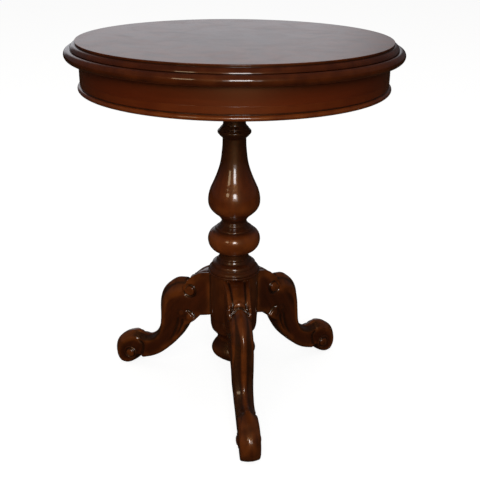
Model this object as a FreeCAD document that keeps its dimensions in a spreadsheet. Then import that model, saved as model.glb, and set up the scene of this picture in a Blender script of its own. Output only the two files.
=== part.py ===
import FreeCAD, Part
import math
import os
from types import SimpleNamespace

import Sketcher
from FreeCAD import Placement, Rotation, Vector

# Side table: a moulded round top on a frieze, a turned column and drum, three
# carved scroll legs and a drop finial. Millimetres, +Z up. The origin is on the
# floor, under the middle of the column. The front leg points along -Y.

# Driving dimensions

DRIVING = {
    # overall
    "overall_height": 715.0,
    "top_radius": 300.0,
    # round top
    "top_thickness": 31.0,
    "rim_width": 50.0,
    "rim_moulding_run": 20.0,
    "veneer_thickness": 0.8,
    "rim_step_depth": 4.6,
    "rim_ovolo_depth": 7.4,
    "rim_quirk": 1.8,
    # frieze
    "apron_depth": 54.0,
    "apron_setback": 24.7,
    "apron_thickness": 17.8,
    "base_moulding_height": 22.0,
    "base_moulding_rebate": 7.0,
    "base_bead_height": 7.4,
    "base_bead_reach": 3.4,
    "upper_bead_height": 5.4,
    "upper_bead_reach": 1.9,
    "bead_quirk": 1.2,
    "glue_block_leg": 26.0,
    "glue_block_length": 48.0,
    # underframe
    "bearer_width": 45.0,
    "bearer_thickness": 20.0,
    "bearer_spacing": 84.0,
    "pillar_block_side": 140.0,
    "pillar_block_thickness": 22.0,
    "pillar_block_chamfer": 5.0,
    "screw_length": 36.0,
    "screw_head_radius": 4.6,
    "screw_shank_radius": 2.2,
    "screw_head_depth": 2.8,
    "block_screw_inset": 20.0,
    "bearer_screw_inset": 50.0,
    # column
    "upper_tenon_radius": 16.0,
    "upper_tenon_stand": 4.0,
    "wedge_thickness": 4.0,
    "wedge_tip": 1.2,
    "neck_radius": 22.4,
    "collar_radius": 31.0,
    "vase_radius": 49.9,
    "waist_radius": 23.6,
    "knop_radius": 50.7,
    "knop_shoulder_radius": 36.8,
    "base_neck_radius": 28.6,
    "base_radius": 52.2,
    "base_bead": 6.6,
    "lower_tenon_radius": 14.0,
    "lower_tenon_length": 40.0,
    # drum
    "drum_top": 262.0,
    "drum_height": 140.5,
    "drum_radius": 48.0,
    "drum_taper": 1.2,
    "drum_foot_height": 16.7,
    "drum_foot_radius": 32.6,
    # drop finial
    "finial_radius": 44.8,
    "finial_height": 61.5,
    "spigot_radius": 9.0,
    "spigot_length": 34.0,
    # legs
    "leg_reach": 281.5,
    "leg_width": 42.0,
    "leg_root_width": 52.0,
    "leg_root_height": 104.0,
    "leg_crown": 16.0,
    "foot_width": 40.0,
    "foot_rounding": 9.0,
    "foot_boss_radius": 12.5,
    "foot_boss_stand": 3.4,
    "foot_boss_rounding": 2.6,
    "scroll_radius": 16.0,
    "scroll_stand": 1.2,
    "dowel_radius": 5.0,
    "dowel_length": 50.0,
    "dowel_clearance": 6.3,
    "dowel_inset": 31.0,
    # fits
    "joint_gap": 0.1,
}

# Heights of the column's turnings, as shares of its length from the drum to the block
COLLAR_TOP_SHARE = 0.787
COLLAR_RING_SHARE = 0.744
COLLAR_FOOT_SHARE = 0.705
VASE_MIDDLE_SHARE = 0.394
VASE_BOTTOM_SHARE = 0.303
KNOP_TOP_SHARE = 0.280
KNOP_MIDDLE_SHARE = 0.1855
BASE_TOP_SHARE = 0.100
FINIAL_MIDDLE_SHARE = 0.504

LEG_COUNT = 3
GLUE_BLOCK_COUNT = 8
GLUE_BLOCK_TIP_SHARE = 0.96
LEG_NAMES = ("front_leg", "right_leg", "left_leg")


class Size:
    """A length with its value and the text that binds it to the sheet."""

    def __init__(self, value, text):
        self.value = value
        self.text = text

    def join(self, other, sign, value):
        return Size(value, "(%s %s %s)" % (self.text, sign, words(other)))

    def __add__(self, other):
        return self.join(other, "+", self.value + number(other))

    def __sub__(self, other):
        return self.join(other, "-", self.value - number(other))

    def __mul__(self, share):
        return self.join(share, "*", self.value * number(share))

    def __truediv__(self, share):
        return self.join(share, "/", self.value / number(share))

    def __neg__(self):
        return self * -1


def number(length):
    """The value of a named size, or of a plain number."""
    return length.value if isinstance(length, Size) else float(length)


def words(length):
    """The text that stands for a length in an expression."""
    return length.text if isinstance(length, Size) else repr(float(length))


def between(low, high, share):
    """The size that lies at a share of the way from low to high."""
    return low + (high - low) * share


doc = FreeCAD.newDocument("side_table")
sheet = doc.addObject("Spreadsheet::Sheet", "Sizes")
for row, (alias, length) in enumerate(DRIVING.items(), start=1):
    sheet.set("A%d" % row, alias)
    sheet.set("B%d" % row, str(length))
    sheet.setAlias("B%d" % row, alias)
doc.recompute()

S = SimpleNamespace(**{alias: Size(length, "Sizes." + alias) for alias, length in DRIVING.items()})
NODES = {}


# Helpers that make bound document objects

def bind(item, **lengths):
    """Bind properties of an object to sizes."""
    for name, length in lengths.items():
        item.setExpression(name, words(length))
    return item


def move(item, x=0.0, y=0.0, z=0.0, turn=None):
    """Place an object, with its base bound to sizes."""
    base = Vector(number(x), number(y), number(z))
    item.Placement = Placement(base, turn or Rotation())
    for axis, length in (("x", x), ("y", y), ("z", z)):
        if isinstance(length, Size):
            item.setExpression("Placement.Base." + axis, length.text)
    return item


def cylinder(name, radius, height, **place):
    return move(bind(doc.addObject("Part::Cylinder", name), Radius=radius, Height=height), **place)


def box(name, length, width, height, **place):
    item = bind(doc.addObject("Part::Box", name), Length=length, Width=width, Height=height)
    return move(item, **place)


def cone(name, low_radius, high_radius, height, **place):
    item = doc.addObject("Part::Cone", name)
    return move(bind(item, Radius1=low_radius, Radius2=high_radius, Height=height), **place)


def fuse(name, pieces):
    item = doc.addObject("Part::MultiFuse", name)
    item.Shapes = pieces
    return item


def group(name, pieces):
    item = doc.addObject("Part::Compound", name)
    item.Links = pieces
    return item


def cut(name, base, tool):
    item = doc.addObject("Part::Cut", name)
    item.Base = base
    item.Tool = tool
    return item


def common(name, base, tool):
    item = doc.addObject("Part::Common", name)
    item.Base = base
    item.Tool = tool
    return item


def keep(item, node):
    """Keep an object as a sub-part under its node name."""
    item.Label = node
    NODES[node] = item
    return item


def arc_middle(start, end, bulge):
    """The middle of an arc that swells by a share of its chord, to the left of its travel."""
    run = end - start
    return (start + end) * 0.5 + Vector(-run.y, run.x, 0) * bulge


def draw_profile(sketch, points):
    """Draw a closed half section of lines and arcs, every corner bound to the sheet.

    Each point is (radius, height) or (radius, height, bulge). The bulge belongs to
    the edge that ends there and is a share of that edge's length.
    """
    corners = [Vector(number(p[0]), number(p[1]), 0) for p in points]
    ends = []
    for place, point in enumerate(points):
        start = corners[place - 1]
        end = corners[place]
        if len(point) == 3:
            shape = Part.Arc(start, arc_middle(start, end, point[2]), end)
            edge = sketch.addGeometry(shape, False)
            forward = sketch.getPoint(edge, 1).distanceToPoint(start) < sketch.getPoint(
                edge, 2).distanceToPoint(start)
            ends.append((edge, 1, 2) if forward else (edge, 2, 1))
        else:
            edge = sketch.addGeometry(Part.LineSegment(start, end), False)
            ends.append((edge, 1, 2))
    for place, point in enumerate(points):
        edge, _, last = ends[place]
        following, first, _ = ends[(place + 1) % len(points)]
        sketch.addConstraint(Sketcher.Constraint("Coincident", edge, last, following, first))
        for kind, length, axis in (("DistanceX", point[0], -2), ("DistanceY", point[1], -1)):
            if number(length) == 0:
                sketch.addConstraint(Sketcher.Constraint("PointOnObject", edge, last, axis))
                continue
            fixed = sketch.addConstraint(
                Sketcher.Constraint(kind, -1, 1, edge, last, number(length)))
            sketch.setExpression("Constraints[%d]" % fixed, words(length))
        if len(point) == 3:
            before = points[place - 1]
            ratio = 1 / (8 * abs(point[2])) + abs(point[2]) / 2
            radius = "sqrt((%s - %s)^2 + (%s - %s)^2) * %r" % (
                words(point[0]), words(before[0]), words(point[1]), words(before[1]), ratio)
            chord = (corners[place] - corners[place - 1]).Length
            rounded = sketch.addConstraint(Sketcher.Constraint("Radius", edge, chord * ratio))
            sketch.setExpression("Constraints[%d]" % rounded, radius)


def turned(name, points):
    """A body turned round the Z axis from a half section."""
    body = doc.addObject("PartDesign::Body", name)
    plane = [item for item in body.Origin.OriginFeatures if item.Role == "XZ_Plane"][0]
    sketch = body.newObject("Sketcher::SketchObject", name + "_section")
    sketch.AttachmentSupport = [(plane, "")]
    sketch.MapMode = "FlatFace"
    draw_profile(sketch, points)
    turning = body.newObject("PartDesign::Revolution", name + "_turning")
    turning.Profile = sketch
    turning.ReferenceAxis = (sketch, ["V_Axis"])
    turning.Angle = 360.0
    body.Tip = turning
    return body


# Heights that several pieces share

top_face = S.overall_height
panel_top = top_face - S.veneer_thickness
top_underside = top_face - S.top_thickness
apron_bottom = top_underside - S.apron_depth
block_top = top_underside - S.bearer_thickness
block_bottom = block_top - S.pillar_block_thickness
drum_bottom = S.drum_top - S.drum_height
root_bottom = S.drum_top - S.leg_root_height

# Radii that several pieces share

top_face_radius = S.top_radius - S.rim_moulding_run
panel_radius = S.top_radius - S.rim_width
apron_radius = S.top_radius - S.apron_setback
apron_inside = apron_radius - S.apron_thickness


# Round top

def make_top():
    panel = cylinder("panel_disc", panel_radius, panel_top - top_underside, z=top_underside)
    holes = screw_set("bearer_screw_hole", bearer_screw_places(), block_top, S.joint_gap)
    keep(cut("panel_drilled", panel, holes), "top_panel")
    keep(cylinder("veneer_disc", top_face_radius, S.veneer_thickness, z=panel_top), "top_veneer")

    step = top_face - S.rim_step_depth
    ovolo_foot = step - S.rim_ovolo_depth
    nose_radius = (ovolo_foot - top_underside) / 2
    ovolo_edge = between(top_face_radius, S.top_radius - nose_radius, 0.8)
    rim = turned("rim_ring", [
        (panel_radius, top_underside),
        (S.top_radius - nose_radius, top_underside),
        (S.top_radius, top_underside + nose_radius, -0.2071),
        (S.top_radius - nose_radius, ovolo_foot - S.rim_quirk / 2, -0.2071),
        (ovolo_edge - S.rim_quirk, ovolo_foot - S.rim_quirk),
        (ovolo_edge, ovolo_foot),
        (top_face_radius + S.rim_quirk / 2, step, -0.16),
        (top_face_radius, step),
        (top_face_radius, panel_top),
        (panel_radius, panel_top),
    ])
    keep(rim, "rim_moulding")


# Frieze under the top

def make_frieze():
    core_radius = apron_radius - S.veneer_thickness
    rebate = core_radius - S.base_moulding_rebate
    moulding_top = apron_bottom + S.base_moulding_height
    core = turned("apron_core", [
        (apron_inside, apron_bottom),
        (rebate, apron_bottom),
        (rebate, moulding_top),
        (core_radius, moulding_top),
        (core_radius, top_underside),
        (apron_inside, top_underside),
    ])
    keep(core, "apron_ring")
    skin = turned("apron_skin", [
        (core_radius, moulding_top),
        (apron_radius, moulding_top),
        (apron_radius, top_underside),
        (core_radius, top_underside),
    ])
    keep(skin, "apron_veneer")

    bead_top = apron_bottom + S.base_bead_height
    upper_foot = bead_top + S.bead_quirk
    upper_top = upper_foot + S.upper_bead_height
    strip = turned("base_strip", [
        (rebate, apron_bottom),
        (apron_radius, apron_bottom),
        (apron_radius + S.base_bead_reach, between(apron_bottom, bead_top, 0.5), -0.2),
        (apron_radius, bead_top, -0.2),
        (apron_radius - S.bead_quirk, between(bead_top, upper_foot, 0.5)),
        (apron_radius, upper_foot),
        (apron_radius + S.upper_bead_reach, between(upper_foot, upper_top, 0.5), -0.15),
        (apron_radius, upper_top, -0.15),
        (apron_radius - S.bead_quirk, between(upper_top, moulding_top, 0.35)),
        (apron_radius, between(upper_top, moulding_top, 0.7)),
        (apron_radius, moulding_top),
        (rebate, moulding_top),
    ])
    keep(strip, "apron_base_moulding")


def make_glue_blocks():
    """Three-sided blocks in the corner between the frieze and the top."""
    leg = S.glue_block_leg
    out = apron_inside - leg
    middle = S.glue_block_length / 2
    blocks = []
    for count in range(GLUE_BLOCK_COUNT):
        angle = 360.0 * (count + 0.5) / GLUE_BLOCK_COUNT
        cosine = math.cos(math.radians(angle))
        sine = math.sin(math.radians(angle))
        block = doc.addObject("Part::Wedge", "glue_block_%d" % (count + 1))
        block.Ymin = block.Zmin = block.Z2min = block.X2min = 0
        bind(block, Xmin=leg * GLUE_BLOCK_TIP_SHARE, Xmax=leg, X2max=leg, Ymax=leg,
             Zmax=S.glue_block_length, Z2max=S.glue_block_length)
        turn = Rotation(Vector(0, 0, 1), angle) * Rotation(Vector(1, 0, 0), 90)
        move(block, x=out * cosine - middle * sine, y=out * sine + middle * cosine,
             z=top_underside - leg, turn=turn)
        blocks.append(block)
    inside = cylinder("frieze_inside", apron_inside, S.apron_depth, z=apron_bottom)
    fitted = common("fitted_blocks", group("glue_block_set", blocks), inside)
    across = S.bearer_spacing + S.bearer_width + S.joint_gap * 2
    way = box("bearer_way", apron_inside * 2, across, S.apron_depth,
              x=-apron_inside, y=-across / 2, z=apron_bottom)
    keep(cut("trimmed_blocks", fitted, way), "glue_blocks")


# Underframe

def screw_set(name, places, mouth, gap):
    """Countersunk screws, or the holes for them, that point up from a face."""
    screws = []
    for count, (x, y) in enumerate(places, start=1):
        head = cone("%s_head_%d" % (name, count), S.screw_head_radius + gap,
                    S.screw_shank_radius + gap, S.screw_head_depth, x=x, y=y, z=mouth)
        shank = cylinder("%s_shank_%d" % (name, count), S.screw_shank_radius + gap,
                         S.screw_length + gap, x=x, y=y, z=mouth)
        screws.append(fuse("%s_%d" % (name, count), [head, shank]))
    return group(name + "_set", screws)


def bearer_screw_places():
    row = S.bearer_spacing / 2
    outer = apron_inside - S.bearer_screw_inset
    inner = between(S.pillar_block_side / 2, outer, 0.3)
    return [(x, y) for y in (-row, row) for x in (-outer, -inner, inner, outer)]


def block_screw_places():
    row = S.bearer_spacing / 2
    along = S.pillar_block_side / 2 - S.block_screw_inset
    return [(x, y) for y in (-row, row) for x in (-along, along)]


def make_underframe():
    bored = S.joint_gap
    room = cylinder("bearer_room", apron_inside, S.bearer_thickness, z=block_top)
    for node, side in (("front_bearer", -1), ("back_bearer", 1)):
        rail = box(node + "_rail", apron_inside * 2, S.bearer_width, S.bearer_thickness,
                   x=-apron_inside, y=S.bearer_spacing * (side / 2) - S.bearer_width / 2,
                   z=block_top)
        fitted = common(node + "_fitted", rail, room)
        up_holes = screw_set(node + "_top_hole", bearer_screw_places(), block_top, bored)
        low_holes = screw_set(node + "_block_hole", block_screw_places(), block_bottom, bored)
        keep(cut(node + "_drilled", fitted, fuse(node + "_holes", [up_holes, low_holes])), node)

    side = S.pillar_block_side
    plain = box("block_blank", side, side, S.pillar_block_thickness,
                x=-side / 2, y=-side / 2, z=block_bottom)
    edge = S.pillar_block_chamfer
    bevel = doc.addObject("Part::Wedge", "block_bevel")
    bevel.Ymin = 0
    bind(bevel, Ymax=side, Xmin=edge, Xmax=side - edge, Zmin=edge, Zmax=side - edge,
         X2min=edge - side, X2max=side * 2 - edge, Z2min=edge - side, Z2max=side * 2 - edge)
    move(bevel, x=-side / 2, y=side / 2, z=block_bottom, turn=Rotation(Vector(1, 0, 0), 90))
    shaped = common("block_shaped", plain, bevel)
    bore = cylinder("tenon_bore", S.upper_tenon_radius + bored, S.pillar_block_thickness,
                    z=block_bottom)
    holes = screw_set("block_hole", block_screw_places(), block_bottom, bored)
    keep(cut("block_drilled", shaped, fuse("block_holes", [bore, holes])), "pillar_block")

    keep(screw_set("block_screw", block_screw_places(), block_bottom, 0.0), "pillar_block_screws")
    keep(screw_set("bearer_screw", bearer_screw_places(), block_top, 0.0), "bearer_screws")


# Turned column

def wedge(name, gap):
    """The thin wedge in the upper tenon, or the slot for it."""
    tall = S.pillar_block_thickness
    item = doc.addObject("Part::Wedge", name)
    half_tip = S.wedge_tip / 2 + gap
    half_top = S.wedge_thickness / 2 + gap
    half_wide = S.upper_tenon_radius
    bind(item, Ymin=tall * 0, Ymax=tall, Xmin=-half_tip, Xmax=half_tip, X2min=-half_top,
         X2max=half_top, Zmin=-half_wide, Zmax=half_wide, Z2min=-half_wide, Z2max=half_wide)
    top = block_top + S.upper_tenon_stand
    return move(item, z=top - tall, turn=Rotation(Vector(1, 0, 0), 90))


def make_column():
    tenon_top = block_top + S.upper_tenon_stand
    collar_top = between(S.drum_top, block_bottom, COLLAR_TOP_SHARE)
    collar_foot = between(S.drum_top, block_bottom, COLLAR_FOOT_SHARE)
    ring_middle = between(S.drum_top, block_bottom, COLLAR_RING_SHARE)
    ring_half = (collar_top - collar_foot) * 0.15
    ring_edge = S.collar_radius - ring_half / 2
    neck_foot = S.neck_radius * 0.97
    vase_middle = between(S.drum_top, block_bottom, VASE_MIDDLE_SHARE)
    vase_bottom = between(S.drum_top, block_bottom, VASE_BOTTOM_SHARE)
    knop_top = between(S.drum_top, block_bottom, KNOP_TOP_SHARE)
    knop_middle = between(S.drum_top, block_bottom, KNOP_MIDDLE_SHARE)
    shoulder = between(knop_middle, knop_top, 0.6)
    shoulder_top = between(knop_middle, knop_top, 0.82)
    base_top = between(S.drum_top, block_bottom, BASE_TOP_SHARE)
    knop_foot = between(base_top, knop_middle, 0.3)
    flare_top = between(S.drum_top, base_top, 0.5)
    flare_foot = S.drum_top + S.base_bead
    flare_edge = between(S.base_neck_radius, S.base_radius, 0.33)
    fillet = S.base_radius * 0.95
    blank = turned("column_turning", [
        (0, tenon_top),
        (0, S.drum_top - S.lower_tenon_length),
        (S.lower_tenon_radius, S.drum_top - S.lower_tenon_length),
        (S.lower_tenon_radius, S.drum_top),
        # base bead and flare
        (fillet, S.drum_top),
        (S.base_radius, between(S.drum_top, flare_foot, 0.5), -0.2),
        (fillet, flare_foot, -0.2),
        (fillet, between(flare_foot, flare_top, 0.06)),
        (between(flare_edge, fillet, 0.62), between(flare_foot, flare_top, 0.42), -0.07),
        (flare_edge, flare_top, 0.02),
        (flare_edge - S.bead_quirk / 2, flare_top + S.bead_quirk / 2),
        (between(S.base_neck_radius, flare_edge, 0.25), between(flare_top, base_top, 0.38), 0.08),
        (S.base_neck_radius, between(flare_top, base_top, 0.7), -0.25),
        (S.base_neck_radius, base_top),
        # knop
        (between(S.base_neck_radius, S.knop_radius, 0.49), knop_foot),
        (S.knop_radius, knop_middle, -0.12),
        (S.knop_shoulder_radius + S.bead_quirk, between(knop_middle, shoulder, 0.95), -0.14),
        (S.knop_shoulder_radius - S.bead_quirk / 2, shoulder),
        (between(S.waist_radius, S.knop_shoulder_radius, 0.24), shoulder_top, -0.05),
        (S.waist_radius, knop_top, -0.25),
        (S.waist_radius, vase_bottom),
        # vase and its long neck
        (between(S.waist_radius, S.vase_radius, 0.13), vase_bottom + S.bead_quirk / 2),
        (between(S.waist_radius, S.vase_radius, 0.83), between(vase_bottom, vase_middle, 0.52),
         -0.05),
        (S.vase_radius, vase_middle, -0.09),
        (between(S.neck_radius, S.vase_radius, 0.865), between(vase_middle, collar_foot, 0.172),
         -0.045),
        (between(S.neck_radius, S.vase_radius, 0.495), between(vase_middle, collar_foot, 0.375),
         -0.012),
        (neck_foot, collar_foot, 0.056),
        # collar ring
        (ring_edge, ring_middle - ring_half),
        (ring_edge, ring_middle + ring_half, -0.25),
        (between(S.neck_radius, S.collar_radius, 0.45), between(ring_middle, collar_top, 0.48)),
        (S.neck_radius, collar_top, 0.1),
        # neck and upper tenon
        (S.neck_radius, block_bottom),
        (S.upper_tenon_radius, block_bottom),
        (S.upper_tenon_radius, tenon_top),
    ])
    keep(cut("column_slotted", blank, wedge("wedge_slot", 0.0)), "column")
    round_end = cylinder("wedge_round", S.upper_tenon_radius, S.pillar_block_thickness,
                         z=tenon_top - S.pillar_block_thickness)
    keep(common("wedge_trimmed", wedge("wedge_blank", 0.0), round_end), "tenon_wedge")


# Leg drum and drop finial

def leg_angle(count):
    """The direction of a leg, in degrees from +X. The first points along -Y."""
    return -90.0 + 360.0 * count / LEG_COUNT


def root_distance():
    """How far the flat seat of a leg lies from the axis: its corners meet the drum's skin."""
    half = S.leg_root_width / 2
    value = math.sqrt(S.drum_radius.value ** 2 - half.value ** 2)
    return Size(value, "sqrt(%s^2 - %s^2)" % (S.drum_radius.text, half.text))


def dowel_set(name, count, gap):
    """The two dowels of a leg, or the holes for them."""
    turn = Rotation(Vector(0, 0, 1), leg_angle(count)) * Rotation(Vector(0, 1, 0), 90)
    start = S.lower_tenon_radius + S.dowel_clearance - gap
    cosine = math.cos(math.radians(leg_angle(count)))
    sine = math.sin(math.radians(leg_angle(count)))
    heights = (root_bottom + S.dowel_inset, S.drum_top - S.dowel_inset)
    rods = [cylinder("%s_%d" % (name, row), S.dowel_radius + gap, S.dowel_length + gap + gap,
                     x=start * cosine, y=start * sine, z=height, turn=turn)
            for row, height in enumerate(heights, start=1)]
    return group(name + "_set", rods)


def make_drum():
    drum_edge = drum_bottom + S.drum_foot_height
    waist = between(drum_edge, S.drum_top, 0.2)
    blank = turned("drum_turning", [
        (0, drum_bottom),
        (S.drum_foot_radius, drum_bottom),
        (S.drum_radius * 0.92, drum_edge, 0.03),
        (S.drum_radius * 0.928, between(drum_edge, waist, 0.1)),
        (S.drum_radius, waist, -0.04),
        (S.drum_radius - S.drum_taper, S.drum_top),
        (0, S.drum_top),
    ])
    tools = []
    tall = S.leg_root_height
    wide = S.leg_root_width
    for count in range(LEG_COUNT):
        turn = Rotation(Vector(0, 0, 1), leg_angle(count))
        cosine = math.cos(math.radians(leg_angle(count)))
        sine = math.sin(math.radians(leg_angle(count)))
        out = root_distance()
        seat = box("seat_%d" % (count + 1), S.drum_radius, wide, tall,
                   x=out * cosine + wide * (sine / 2), y=out * sine - wide * (cosine / 2),
                   z=root_bottom, turn=turn)
        tools.append(seat)
        tools.append(dowel_set("drum_hole_%d" % (count + 1), count, S.joint_gap))
    tools.append(cylinder("column_socket", S.lower_tenon_radius + S.joint_gap,
                          S.lower_tenon_length + S.joint_gap,
                          z=S.drum_top - S.lower_tenon_length - S.joint_gap))
    tools.append(cylinder("finial_socket", S.spigot_radius + S.joint_gap,
                          S.spigot_length + S.joint_gap, z=drum_bottom))
    keep(cut("drum_bored", blank, fuse("drum_tools", tools)), "leg_drum")


def make_finial():
    cap = S.drum_foot_radius * 0.97
    bottom = drum_bottom - S.finial_height
    middle = between(bottom, drum_bottom, FINIAL_MIDDLE_SHARE)
    brow = between(middle, drum_bottom, 0.54)
    drop = turned("finial_turning", [
        (0, bottom),
        (S.finial_radius * 0.86, between(bottom, middle, 0.61), -0.11),
        (S.finial_radius, middle, -0.1),
        (S.finial_radius * 0.8, brow, -0.085),
        (cap, drum_bottom, 0.05),
        (S.spigot_radius, drum_bottom),
        (S.spigot_radius, drum_bottom + S.spigot_length),
        (0, drum_bottom + S.spigot_length),
    ])
    keep(drop, "drop_finial")


# Carved scroll legs

# Sections of the shank from the knee's shoulder to the foot. Each has its outer
# and inner ends, as shares of the leg's span from its seat to its toe and of the
# drum's top height, then its width and its crown, as shares of the leg's width and
# of its crown's rise.
SHANK_SHARES = (
    (0.143, 0.950, 0.132, 0.569, 1.030, 0.15),
    (0.239, 0.868, 0.197, 0.520, 1.000, 0.35),
    (0.329, 0.868, 0.239, 0.477, 0.990, 0.75),
    (0.411, 0.822, 0.263, 0.447, 0.985, 0.95),
    (0.475, 0.756, 0.281, 0.412, 0.975, 1.00),
    (0.513, 0.668, 0.305, 0.370, 0.960, 1.00),
    (0.523, 0.573, 0.338, 0.328, 0.935, 0.95),
    (0.524, 0.477, 0.380, 0.281, 0.905, 0.85),
    (0.537, 0.397, 0.426, 0.240, 0.870, 0.75),
    (0.575, 0.340, 0.488, 0.185, 0.845, 0.65),
    (0.645, 0.298, 0.570, 0.130, 0.840, 0.60),
    (0.716, 0.311, 0.674, 0.090, 0.870, 0.60),
    (0.784, 0.318, 0.755, 0.088, 0.900, 0.60),
)

# The foot's scroll in side view, in the same shares of span and height
FOOT_SHARES = (
    (0.734, 0.075), (0.791, 0.034), (0.869, -0.002), (0.936, 0.015), (0.989, 0.061),
    (1.000, 0.115), (0.986, 0.178), (0.933, 0.244), (0.852, 0.298), (0.769, 0.316),
    (0.711, 0.300), (0.691, 0.190),
)

# The block at the leg's root, from its top edge round to its underside, in the same shares
ROOT_SHARES = ((0.143, 0.950), (0.218, 0.850), (0.183, 0.535), (0.132, 0.569))

# The strap on the leg's root and its rolled end, in the same shares
STRAP_SHARES = (
    (0.054, 0.994), (0.114, 0.974), (0.181, 0.927), (0.231, 0.882), (0.260, 0.836),
    (0.262, 0.790), (0.241, 0.760), (0.197, 0.747), (0.153, 0.762), (0.130, 0.803),
    (0.139, 0.842), (0.107, 0.880), (0.054, 0.905),
)

BOSS_SHARES = (0.816, 0.130)
SCROLL_SHARES = (0.193, 0.803)
FLARE_SHARE = 0.132


def leg_point(out_share, up_share, across=0.0):
    """A point of a leg that lies along +X."""
    seat = root_distance()
    return Vector(number(between(seat, S.leg_reach, out_share)), across,
                  S.drum_top.value * up_share)


def shank_section(outer, inner, width, crown):
    """A closed section: a flat inner edge, two flat sides and a crowned outer face."""
    half = Vector(0, width / 2, 0)
    rise = (outer - inner).normalize() * crown
    shoulder = outer - rise
    return Part.Wire([
        Part.makeLine(inner - half, shoulder - half),
        Part.Arc(shoulder - half, outer, shoulder + half).toShape(),
        Part.makeLine(shoulder + half, inner + half),
        Part.makeLine(inner + half, inner - half),
    ])


def smooth_prism(points, width):
    """A block of one width with a smooth closed outline in the plane of the leg."""
    curve = Part.BSplineCurve()
    curve.interpolate(points, PeriodicFlag=True)
    face = Part.Face(Part.Wire([curve.toShape()]))
    face.translate(Vector(0, -width / 2, 0))
    return face.extrude(Vector(0, width, 0))


def shank():
    """The curved part of a leg, lofted from the knee's shoulder to the foot."""
    sections = []
    for out, up, low_out, low_up, width_share, crown_share in SHANK_SHARES:
        sections.append(shank_section(leg_point(out, up), leg_point(low_out, low_up),
                                      S.leg_width.value * width_share,
                                      S.leg_crown.value * crown_share))
    return Part.makeLoft(sections, True, False)


def flared_plan():
    """The outline of a leg from above: it widens in a curve towards the drum."""
    root = root_distance().value
    half_root = S.leg_root_width.value / 2
    half_leg = S.leg_width.value / 2 + S.scroll_stand.value
    settled = leg_point(FLARE_SHARE, 0).x
    far = S.leg_reach.value
    flare = Part.BSplineCurve()
    flare.interpolate([Vector(root, half_root, 0), Vector(settled, half_leg, 0)],
                      InitialTangent=Vector(1, -0.55, 0), FinalTangent=Vector(1, 0, 0))
    other = flare.copy()
    other.mirror(Vector(0, 0, 0), Vector(1, 0, 0))
    outline = Part.Wire([
        flare.toShape(),
        Part.makeLine(Vector(settled, half_leg, 0), Vector(far, half_leg, 0)),
        Part.makeLine(Vector(far, half_leg, 0), Vector(far, -half_leg, 0)),
        Part.makeLine(Vector(far, -half_leg, 0), Vector(settled, -half_leg, 0)),
        other.toShape(),
        Part.makeLine(Vector(root, -half_root, 0), Vector(root, half_root, 0)),
    ])
    return Part.Face(outline).extrude(Vector(0, 0, S.drum_top.value))


def root_block():
    """The part of a leg that meets the drum, before its strap is added."""
    root = root_distance().value
    low = root_bottom.value
    corners = [Vector(root, 0, low), Vector(root, 0, S.drum_top.value)]
    corners += [leg_point(out, up) for out, up in ROOT_SHARES]
    corners.append(Vector(S.drum_radius.value + S.joint_gap.value, 0, low))
    face = Part.Face(Part.makePolygon(corners + corners[:1]))
    width = S.leg_root_width.value
    face.translate(Vector(0, -width / 2, 0))
    return face.extrude(Vector(0, width, 0))


def foot():
    points = [leg_point(out, up) for out, up in FOOT_SHARES]
    block = smooth_prism(points, S.foot_width.value)
    rims = [edge for edge in block.Edges if edge.Closed]
    scroll = block.makeFillet(S.foot_rounding.value, rims)
    reach = S.foot_width.value + 2 * S.foot_boss_stand.value
    boss = Part.makeCylinder(S.foot_boss_radius.value, reach,
                             leg_point(*BOSS_SHARES, across=-reach / 2), Vector(0, 1, 0))
    rims = [edge for edge in boss.Edges if edge.Closed and len(edge.Vertexes) == 1]
    boss = boss.makeFillet(S.foot_boss_rounding.value, rims)
    return scroll.fuse(boss)


def root():
    """The flared root with its strap, which ends in a small roll."""
    blank = smooth_prism([leg_point(out, up) for out, up in STRAP_SHARES], S.leg_root_width.value)
    half = S.leg_width.value / 2 + S.scroll_stand.value
    roll = Part.makeCylinder(S.scroll_radius.value, 2 * half,
                             leg_point(*SCROLL_SHARES, across=-half), Vector(0, 1, 0))
    return blank.fuse(root_block()).common(flared_plan()).fuse(roll)


def make_legs():
    solid = shank().fuse([foot(), root()])
    sole = Part.makeBox(S.leg_reach.value, S.leg_reach.value, S.leg_reach.value,
                        Vector(0, -S.leg_reach.value / 2, -S.leg_reach.value))
    solid = solid.cut(sole)
    for count, node in enumerate(LEG_NAMES):
        blank = doc.addObject("Part::Feature", node + "_blank")
        blank.Shape = solid
        blank.Placement = Placement(Vector(), Rotation(Vector(0, 0, 1), leg_angle(count)))
        holes = dowel_set(node + "_hole", count, S.joint_gap)
        drilled = cut(node + "_drilled", blank, holes)
        drilled.Refine = False
        keep(drilled, node)
        keep(dowel_set(node + "_dowel", count, 0.0), node + "_dowels")


make_top()
make_frieze()
make_glue_blocks()
make_underframe()
make_column()
make_drum()
make_finial()
make_legs()
doc.recompute()

# Checks, then one file for each sub-part

for item in doc.Objects:
    if "Invalid" in item.State or "Error" in item.State:
        raise RuntimeError("%s failed: %s" % (item.Name, item.State))
for node, item in NODES.items():
    if item.Shape.isNull() or not item.Shape.isValid() or not item.Shape.Solids:
        raise RuntimeError("%s has no valid solid" % node)

os.makedirs("parts", exist_ok=True)
for node, item in NODES.items():
    item.Shape.exportStep("parts/%s.step" % node)
    bounds = item.Shape.BoundBox
    print("%-22s solids %2d  volume %9.0f  x %6.1f %6.1f  y %6.1f %6.1f  z %6.1f %6.1f" % (
        node, len(item.Shape.Solids), item.Shape.Volume, bounds.XMin, bounds.XMax,
        bounds.YMin, bounds.YMax, bounds.ZMin, bounds.ZMax))
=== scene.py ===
"""Looks of a round side table: moulded top, turned column, three carved scroll legs.

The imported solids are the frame. Visible pieces are built again here with finer
outlines and carving, and the hidden ones keep their solids and get bare wood.
Lengths are millimetres until a mesh is made, and heights are above the floor.
"""

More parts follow.
